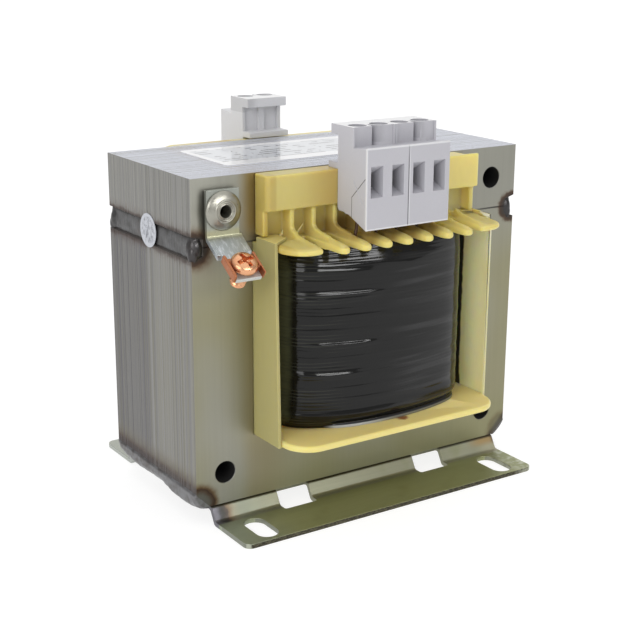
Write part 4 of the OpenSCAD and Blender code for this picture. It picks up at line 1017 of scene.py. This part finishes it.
# ------------------------------------------------------------------ outer wrap of the winding
def wrap_outline(n=236):
    """Plan of the wrapped winding: points with outward normals, evenly spaced, from the front middle to the right."""
    hx, hy, r, bow = 27.5, 34.6, 13.2, 73.9
    mid_y = STACK / 2

    def inside(x, y):
        x, y = abs(x), abs(y)
        if x > hx or y > hy or x * x + (y - (hy - bow)) ** 2 > bow * bow:
            return False
        return not (x > hx - r and y > hy - r and (x - hx + r) ** 2 + (y - hy + r) ** 2 > r * r)

    pts = []
    for i in range(1440):
        a = 2 * math.pi * i / 1440 - math.pi / 2
        c, s = math.cos(a), math.sin(a)
        lo, hi = 10.0, 60.0
        for _ in range(34):
            q = (lo + hi) / 2
            lo, hi = (q, hi) if inside(q * c, q * s) else (lo, q)
        pts.append(Vector((lo * c, lo * s)))
    for _ in range(2):                      # the tape draws the bend at the corners into one curve
        w = 26
        tot = sum((pts[k] for k in range(-w, w + 1)), Vector((0, 0)))
        soft = []
        for i in range(1440):
            soft.append(tot / (2 * w + 1))
            tot = tot - pts[i - w] + pts[(i + w + 1) % 1440]
        pts = soft
    run = [0.0]
    for a, b in zip(pts, pts[1:] + pts[:1]):
        run.append(run[-1] + (b - a).length)
    out, k = [], 0
    for i in range(n):
        want = run[-1] * i / n
        while run[k + 1] < want:
            k += 1
        t = (want - run[k]) / (run[k + 1] - run[k])
        p = pts[k].lerp(pts[(k + 1) % 1440], t)
        d = (pts[(k + 8) % 1440] - pts[(k - 7) % 1440]).normalized()
        out.append((p.x, p.y + mid_y, d.y, -d.x))
    return out


def wrap_skin():
    z0, z1 = 17.65, 62.55
    loop = wrap_outline()
    ridges = [(56.5, 0.45, 0.16, -34, -2), (54.2, 0.4, 0.14, -32, -8), (51.0, 0.5, 0.40, -28, -2),
              (49.9, 0.4, 0.24, -30, -4), (45.6, 0.5, 0.10, -30, 4), (38.7, 0.55, 0.36, -24, -3), (35.6, 0.45, 0.08, -30, 20),
              (31.5, 0.55, 0.36, -29, -7), (27.8, 0.4, 0.08, -30, 10), (24.8, 0.5, 0.12, -30, 24), (20.9, 0.7, 0.36, -34, 4)]
    hx = 27.5
    rows = []
    nzr = 230
    for k in range(nzr + 1):
        z = z0 + (z1 - z0) * k / nzr
        ring = []
        for x, y, nx, ny in loop:
            side = abs(ny)
            front = 1.0 if y < STACK / 2 else -1.0
            s = x if front > 0 else -x - 3.0
            q = 1.0 if front > 0 else 2.3
            slope = 0.02 * s + 0.35 * nz(s * 0.05, q)
            zz = z + slope
            d = 0.15 * max(0.0, 1 - (x / hx) ** 2) * side                       # slight barrel
            d -= 1.2 * sstep(-9.0, -24.0, s) * sstep(34.0, 18.0, z) * side
            turn = math.sin(2 * math.pi * (zz + 0.10 * nz(zz * 0.4, s * 0.05, q)) / 0.86)
            amp = 0.055 * (0.25 + 0.75 * sstep(2.0, -18.0, s)) * (0.6 + 0.6 * nz(zz * 0.13, s * 0.03, q + 5))
            d += amp * turn
            d += 0.14 * nz(s * 0.035 + 3.0, zz * 0.42, q)                          # slack of the tape
            d += 0.05 * nz(s * 0.06 + 9.0, (zz + 0.06 * s) * 1.15, q)
            for rz, rw, rh, ra, rb in ridges:
                f = sstep(ra, ra + 7, s) * sstep(rb, rb - 7, s)
                if f > 0:
                    u = (zz - rz + 0.25 * nz(s * 0.08, rz)) / rw
                    d += rh * f * (math.exp(-u * u) if u > 0 else math.exp(-u * u * 0.2))
            top = max(0.0, z - 57.0 - 0.5 * nz(s * 0.12, 4.0, q))                   # a sloping shoulder under the comb
            d -= 0.40 * top * top / (top + 0.8) * (0.25 + 0.75 * sstep(16.0, 2.0, s))
            lip = sstep(-19.0, -14.0, s) * sstep(27.0, 22.0, s) if front > 0 else 0.0
            d -= 1.3 * (1 - lip) * sstep(20.6, 17.2, z) ** 1.4
            d -= 1.0 * lip * sstep(20.6, 18.4, z)                                  # tape ends, film looks out below it
            d += 0.7 * lip * sstep(18.5, 18.15, z)
            d = min(d, 0.95)
            ring.append(P(x + nx * d, y + ny * d, z))
        rows.append(ring)
    # inner wall, so that the wrap is a band and not a block
    inner = []
    for z in (z1, z0):
        t = 8.5 if z == z1 else 4.5
        inner.append([P(x - nx * t, y - ny * t, z) for x, y, nx, ny in loop])
    return grid_solid(rows + inner, closed=True)


make("winding_wrap", wrap_skin(), M_WRAP, "outer_wrap", 70, False)


def turns_under_wrap():
    """Outer winding as it lies inside the tape, pulled in a little at both ends."""
    rows = []
    for d, z in ((4.8, 18.4), (4.7, 20.0), (3.2, 24.0), (3.2, 56.0), (4.8, 60.0), (5.0, 61.6), (7.2, 61.6), (7.2, 18.4)):
        rows.append([P(x - nx * d, y - ny * d, z) for x, y, nx, ny in wrap_outline(180)])
    return grid_solid(rows, closed=True)


make("secondary_turns", turns_under_wrap(), M_SECOND, "secondary_winding", 60, False)

# ------------------------------------------------------------------ terminals
def entry_funnel(bm, x, rear):
    """Sloping floor and ceiling inside a wire entry."""
    made = []
    for z, h in ((74.6, 1.85), (81.8, -2.75)):
        a, b = [[bm.verts.new(P(q, STACK - y if rear else y, w)) for y, w in ((-16.95, z), (-12.0, z + h), (-12.0, z))]
                for q in (x - 1.72, x + 1.72)]
        made += [bm.faces.new((a[i], a[(i + 1) % 3], b[(i + 1) % 3], b[i])) for i in range(3)]
        made += [bm.faces.new(a[::-1]), bm.faces.new(b)]
    bmesh.ops.recalc_face_normals(bm, faces=made)


for node, name in (("front_terminal_left", "terminal_block_left"), ("front_terminal_right", "terminal_block_right"),
                   ("rear_terminal", "terminal_block_rear")):
    bm = clean_cad(node)
    round_edges(bm, 0.10, 2, 30, 181, False)
    for x in {"front_terminal_left": (-9, -3), "front_terminal_right": (3, 9)}.get(node, (-3, 3)):
        entry_funnel(bm, x, node.startswith("rear"))
    make(name, bm, M_TERM_REAR_LIT if node.startswith("rear") else M_TERM, node, 25)

# ------------------------------------------------------------------ earth point
SLOPE = math.radians(34.0)
TONGUE = P(-40.3, -1.8 - 10.3 * math.cos(SLOPE), 66.5 - 10.3 * math.sin(SLOPE))
TILT = Matrix.Rotation(SLOPE, 3, "X")

bm = boolean(clean_cad("earth_tab"), [box_bm((-9, -8, -4), (9, -3.0, 4), Matrix.Translation(TONGUE) @ TILT.to_4x4()),
                                      box_bm((-36.35, -6 + DY, 66.8 + DZ), (-33, 3 + DY, 90 + DZ))])
round_edges(bm, 0.10, 2, 50)
make("earth_tab_plate", bm, M_ZINC, "earth_tab", 45)

bm = clean_cad("earth_saddle")
bm = boolean(bm, [box_bm((-3.3, -6.0, -1.0), (3.9, -1.2, 6.0), Matrix.Translation(TONGUE) @ TILT.to_4x4())])
place = Matrix.Translation(TONGUE) @ TILT.to_4x4()
for v in bm.verts:                          # the clip sits a little to the left, its right lip is narrow
    q = place.inverted() @ v.co
    q.x = q.x * (0.88 if q.x > 0 else 1.0) - 0.35 * MM
    v.co = place @ q
round_edges(bm, 0.16, 3, 25)
make("earth_saddle_clip", bm, M_SADDLE, "earth_saddle", 50)

FRONT = Matrix(((1, 0, 0), (0, 0, -1), (0, 1, 0)))          # local z points to the front
prof = [(1.35, -13.9), (2.3, -13.9), (2.3, -2.0), (2.2, -1.2), (2.2, 1.8), (4.42, 1.8), (4.57, 1.95), (4.55, 2.18), (4.32, 2.46), (3.85, 2.75),
        (3.3, 3.0), (2.86, 3.15), (2.68, 3.24), (2.6, 3.36), (2.5, 3.43), (2.36, 3.41), (2.27, 3.30), (2.18, 3.38), (2.06, 3.45), (1.94, 3.42),
        (1.86, 3.31), (1.78, 3.39), (1.66, 3.43), (1.52, 3.32), (1.4, 3.05)]
make("earth_rivet_hollow", lathe(prof, P(-40.65, 0, 72.42), FRONT, 72, True), M_RIVET, "earth_rivet", 50, False)


def screw():
    """Cheese-dome head with a slot and cross, and a cut thread."""
    t = 0.7
    at = TONGUE + Vector((-0.35 * MM, 0, 0))
    head = [(0.0, t), (2.6, t), (2.85, t + 0.12), (3.12, t + 0.4), (3.22, t + 0.62), (3.22, t + 0.95), (3.12, t + 1.3), (2.9, t + 1.68), (2.55, t + 1.98),
            (2.05, t + 2.22), (1.2, t + 2.36), (0.0, t + 2.4)]
    bm = lathe(head, at, TILT, 72)
    place = Matrix.Translation(at) @ TILT.to_4x4()
    spin = Matrix.Rotation(math.radians(14), 4, "Z")
    cuts = [box_bm((-2.2, -0.5, t + 1.0), (2.2, 0.5, t + 5), place @ spin),
            box_bm((-0.5, -2.0, t + 0.8), (0.5, 2.0, t + 5), place @ spin),
            box_bm((-0.95, -0.95, t + 0.6), (0.95, 0.95, t + 5), place @ spin @ Matrix.Rotation(math.radians(45), 4, "Z"))]
    bm = boolean(bm, cuts)
    round_edges(bm, 0.10, 2, 30)
    # thread
    rows, n, seg = [], 110, 40
    for k in range(n + 1):
        h = -5.0 + 5.65 * k / n
        ring = []
        for i in range(seg):
            a = 2 * math.pi * i / seg
            f = abs(((h / 0.7 - i / seg) % 1.0) - 0.5) * 2
            r = 1.62 + 0.32 * f
            r *= 0.70 + 0.30 * sstep(-5.05, -4.2, h)
            ring.append(at + TILT @ Vector((r * MM * math.cos(a), r * MM * math.sin(a), h * MM)))
        rows.append(ring)
    th = grid_solid(rows)
    me = bpy.data.meshes.new("thread")
    th.to_mesh(me)
    th.free()
    bm.from_mesh(me)
    bpy.data.meshes.remove(me)
    return bm


make("earth_screw_m4", screw(), M_COPPER, "earth_screw", 40, False)


# ------------------------------------------------------------------ labels
def plate(x0, x1, y0, y1, z0, z1, r, wave):
    """Thin film with round corners."""
    pts = []
    for cx, cy, a0 in ((x1 - r, y0 + r, -90), (x1 - r, y1 - r, 0), (x0 + r, y1 - r, 90), (x0 + r, y0 + r, 180)):
        pts += [(cx + r * math.cos(math.radians(a0 + 15 * i)), cy + r * math.sin(math.radians(a0 + 15 * i))) for i in range(7)]
    rows = []
    for z, s in ((z0, 0.0), (z1 - 0.03, 0.0), (z1, -0.05)):
        rows.append([P(x + (s if x > 0 else -s), y + (s if y > (y0 + y1) / 2 else -s), z) for x, y in pts])
    return grid_solid(rows)


lo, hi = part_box("rating_label")
make("rating_label_film", plate(lo.x / MM, hi.x / MM, lo.y / MM - DY, hi.y / MM - DY, 80.0, 80.15, 1.5, 0.0), M_LABEL, "rating_label", 30)


def sticker():
    """Round foil stuck across the weld groove, dented where the groove runs under it."""
    bm = bmesh.new()
    c_y, c_z, rad = 21.3, 64.4, 4.1
    rings, seg = 12, 64
    front, backv = [], []
    for k in range(rings + 1):
        r = rad * k / rings
        ring_f, ring_b = [], []
        for i in range(seg if k else 1):
            a = 2 * math.pi * i / seg
            y, z = c_y + r * math.cos(a), c_z + r * math.sin(a)
            dent = 0.12 * math.exp(-((z - 63.9) / 2.0) ** 2) * (1 - (r / rad) ** 4)
            wr = (0.10 * nz(y * 0.8, z * 0.8, 3.0) + 0.06 * nz(y * 2.0, z * 2.0, 5.0) - 0.15 * math.exp(-((r - 2.2) / 0.5) ** 2)) * (1 - (r / rad) ** 6)
            ring_f.append(bm.verts.new(P(-48.14 + dent + wr, y, z)))
            ring_b.append(bm.verts.new(P(-48.02 + dent + wr, y, z)))
        front.append(ring_f)
        backv.append(ring_b)
    for rings_ in (front, backv):
        for a, b in zip(rings_, rings_[1:]):
            for i in range(seg):
                j = (i + 1) % seg
                if len(a) == 1:
                    bm.faces.new((a[0], b[i], b[j]))
                else:
                    bm.faces.new((a[i], b[i], b[j], a[j]))
    for i in range(seg):
        j = (i + 1) % seg
        bm.faces.new((front[-1][i], backv[-1][i], backv[-1][j], front[-1][j]))
    bmesh.ops.recalc_face_normals(bm, faces=bm.faces)
    return bm


make("round_foil_sticker", sticker(), M_STICKER, "round_sticker", 50, False)


# ------------------------------------------------------------------ leads and small film ends
def tube(points, d, seg=14, sub=6):
    """Round wire along a smooth line through the points."""
    pts = [Vector(p) for p in points]
    line = []
    ext = [pts[0] * 2 - pts[1]] + pts + [pts[-1] * 2 - pts[-2]]
    for a, b, c, e in zip(ext, ext[1:], ext[2:], ext[3:]):
        for i in range(sub):
            t = i / sub
            line.append(0.5 * ((2 * b) + (c - a) * t + (2 * a - 5 * b + 4 * c - e) * t * t + (3 * b - a - 3 * c + e) * t ** 3))
    line.append(pts[-1])
    rows = []
    side = Vector((1, 0, 0))
    for i, p in enumerate(line):
        tan = (line[min(i + 1, len(line) - 1)] - line[max(i - 1, 0)]).normalized()
        u = (side - tan * side.dot(tan)).normalized()
        v = tan.cross(u)
        rows.append([P(*(p + (u * math.cos(a) + v * math.sin(a)) * d / 2)) for a in (2 * math.pi * k / seg for k in range(seg))])
    return grid_solid(rows)


def join(parts):
    bm = bmesh.new()
    for q in parts:
        me = bpy.data.meshes.new("j")
        q.to_mesh(me)
        q.free()
        bm.from_mesh(me)
        bpy.data.meshes.remove(me)
    return bm


leads = []
for x in (-9, -3, 3, 9):
    leads.append(tube([(x - 1.1, -9.9, 61.95), (x - 0.9, -9.8, 63.8), (x - 0.3, -9.65, 66.2), (x, -9.6, 69.3)], 0.8))
make("secondary_lead_wires", join(leads), M_LEAD, "secondary_leads", 60, False)
tails = []
for x in (-9, -3, 3, 9):
    tails.append(box_bm((x - 0.9, -9.9 + DY, 68.7 + DZ), (x + 0.9, -9.3 + DY, 72.9 + DZ)))
make("front_tail_strips", join(tails), M_PLATED, "front_contact_tails", 40, False)
leads = []
for x in (-3, 3):
    f = lambda px, py, pz: (-px, STACK - py, pz)
    leads.append(tube([f(x, -4.65, 61.95), f(x, -4.7, 64.0), f(x, -5.4, 65.0), f(x, -7.2, 65.15), f(x, -8.9, 65.3), f(x, -9.55, 65.8), f(x, -9.6, 66.5)], 1.2))
make("primary_lead_wires", join(leads), M_LEAD, "primary_leads", 60, False)

slivers = []
for (x0, z0), (x1, z1), y, w in (((-23.1, 65.8), (-20.9, 67.7), -5.1, 0.34), ((-27.7, 65.6), (-26.6, 66.9), -5.4, 0.4)):
    q = bmesh.new()
    d = Vector((x1 - x0, 0, z1 - z0)).normalized()
    sidev = Vector((-d.z, 0, d.x)) * w / 2
    rows = []
    for t, k in ((0.0, 1.0), (0.5, 1.15), (1.0, 0.5)):
        c = Vector((x0 + (x1 - x0) * t, y + 0.5 * t * t, z0 + (z1 - z0) * t))
        rows.append([P(*(c + sidev * k)), P(*(c - sidev * k)), P(*(c - sidev * k + Vector((0, 0.12, 0)))), P(*(c + sidev * k + Vector((0, 0.12, 0))))])
    q.free()
    slivers.append(grid_solid(rows))
make("film_slivers", join(slivers), M_FILM_EDGE, None, 40, False)

for node, mat in (("primary_winding", M_PRIMARY), ("winding_insulation", M_FILM),
                  ("front_clamp_screws", M_PLATED), ("rear_clamp_screws", M_PLATED), ("front_clamp_cages", M_BRASS),
                  ("rear_clamp_cages", M_BRASS), ("rear_contact_tails", M_PLATED)):
    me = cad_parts[node].data
    me.materials.clear()
    me.materials.append(mat)


# ------------------------------------------------------------------ studio
def floor():
    m = Mat("floor_white", rough=0.7, spec=0.1)
    g = m.noise(0.01, 2.0)
    m.set(base=m.mix(g, lin(136, 136, 136), lin(138, 138, 138)))
    m.p.inputs["Emission Color"].default_value = (1.0, 1.0, 1.0, 1.0)
    m.p.inputs["Emission Strength"].default_value = 0.82
    bm = bmesh.new()
    bmesh.ops.create_grid(bm, x_segments=1, y_segments=1, size=6.0)
    me = bpy.data.meshes.new("floor")
    bm.to_mesh(me)
    bm.free()
    o = bpy.data.objects.new("floor", me)
    o.location.z = -0.00002
    me.materials.append(m.m)
    bpy.context.scene.collection.objects.link(o)


floor()

# soft room: even walls, a little brighter overhead and behind
world = bpy.data.worlds.new("studio")
bpy.context.scene.world = world
world.use_nodes = True
wt = world.node_tree
bg = next(n for n in wt.nodes if n.type == "BACKGROUND")
bg.inputs["Color"].default_value = (1.0, 1.0, 1.0, 1.0)


def wnode(kind, **props):
    x = wt.nodes.new(kind)
    for k, v in props.items():
        setattr(x, k, v)
    return x


wdir = wnode("ShaderNodeTexCoord").outputs["Generated"]
wsep = wnode("ShaderNodeSeparateXYZ")
wt.links.new(wdir, wsep.inputs[0])
over = wnode("ShaderNodeMapRange", interpolation_type="SMOOTHSTEP")
for k, v in (("From Min", 0.35), ("From Max", 0.95), ("To Min", 0.44), ("To Max", 1.15)):
    over.inputs[k].default_value = v
wt.links.new(wsep.outputs["Z"], over.inputs["Value"])
wdot = wnode("ShaderNodeVectorMath", operation="DOT_PRODUCT")
wt.links.new(wdir, wdot.inputs[0])
wdot.inputs[1].default_value = (0.53, 0.80, 0.284)
rearglow = wnode("ShaderNodeMapRange", interpolation_type="SMOOTHSTEP")
for k, v in (("From Min", 0.55), ("From Max", 0.95), ("To Min", 0.0), ("To Max", 0.44)):
    rearglow.inputs[k].default_value = v
wt.links.new(wdot.outputs["Value"], rearglow.inputs["Value"])
wsum = wnode("ShaderNodeMath", operation="ADD")
wt.links.new(over.outputs["Result"], wsum.inputs[0])
wt.links.new(rearglow.outputs["Result"], wsum.inputs[1])
wt.links.new(wsum.outputs[0], bg.inputs["Strength"])


def softbox(name, at, to, size, power, size_y=None):
    d = bpy.data.lights.new(name, "AREA")
    d.energy = power
    d.shape = "RECTANGLE"
    d.size = size
    d.size_y = size_y or size
    o = bpy.data.objects.new(name, d)
    o.location = at
    o.rotation_euler = (Vector(to) - Vector(at)).to_track_quat("-Z", "Y").to_euler()
    bpy.context.scene.collection.objects.link(o)
    return o


softbox("key_front", (0.13, -0.80, 0.41), (0, 0, 0.06), 0.62, 3.0, 0.15).visible_diffuse = False
softbox("left_soft", (-0.76, -0.46, 0.42), (0, 0, 0.05), 0.5, 2.3, 0.4)

# ------------------------------------------------------------------ camera
AZ, EL, ROLL = math.radians(-33.615), math.radians(16.503), math.radians(0.363)
back = Vector((math.sin(AZ) * math.cos(EL), -math.cos(AZ) * math.cos(EL), math.sin(EL)))
right = Vector((math.cos(AZ), math.sin(AZ), 0.0))
up = back.cross(right)
r2 = right * math.cos(ROLL) + up * math.sin(ROLL)
u2 = up * math.cos(ROLL) - right * math.sin(ROLL)
target = P(6.974, 30.0, 31.209)
cam_data = bpy.data.cameras.new("camera")
cam_data.sensor_width = 36.0
cam_data.lens = 36.0 * 1319.63 / 640.0
cam_data.clip_start, cam_data.clip_end = 0.01, 50.0
cam = bpy.data.objects.new("camera", cam_data)
eye = target + back * (359.688 * MM)
cam.matrix_world = Matrix(((r2.x, u2.x, back.x, eye.x), (r2.y, u2.y, back.y, eye.y), (r2.z, u2.z, back.z, eye.z), (0, 0, 0, 1)))
bpy.context.scene.collection.objects.link(cam)
bpy.context.scene.camera = cam

view = bpy.context.scene.view_settings
view.view_transform = "Standard"
view.look = "None"
view.exposure = 0.0
view.gamma = 1.0
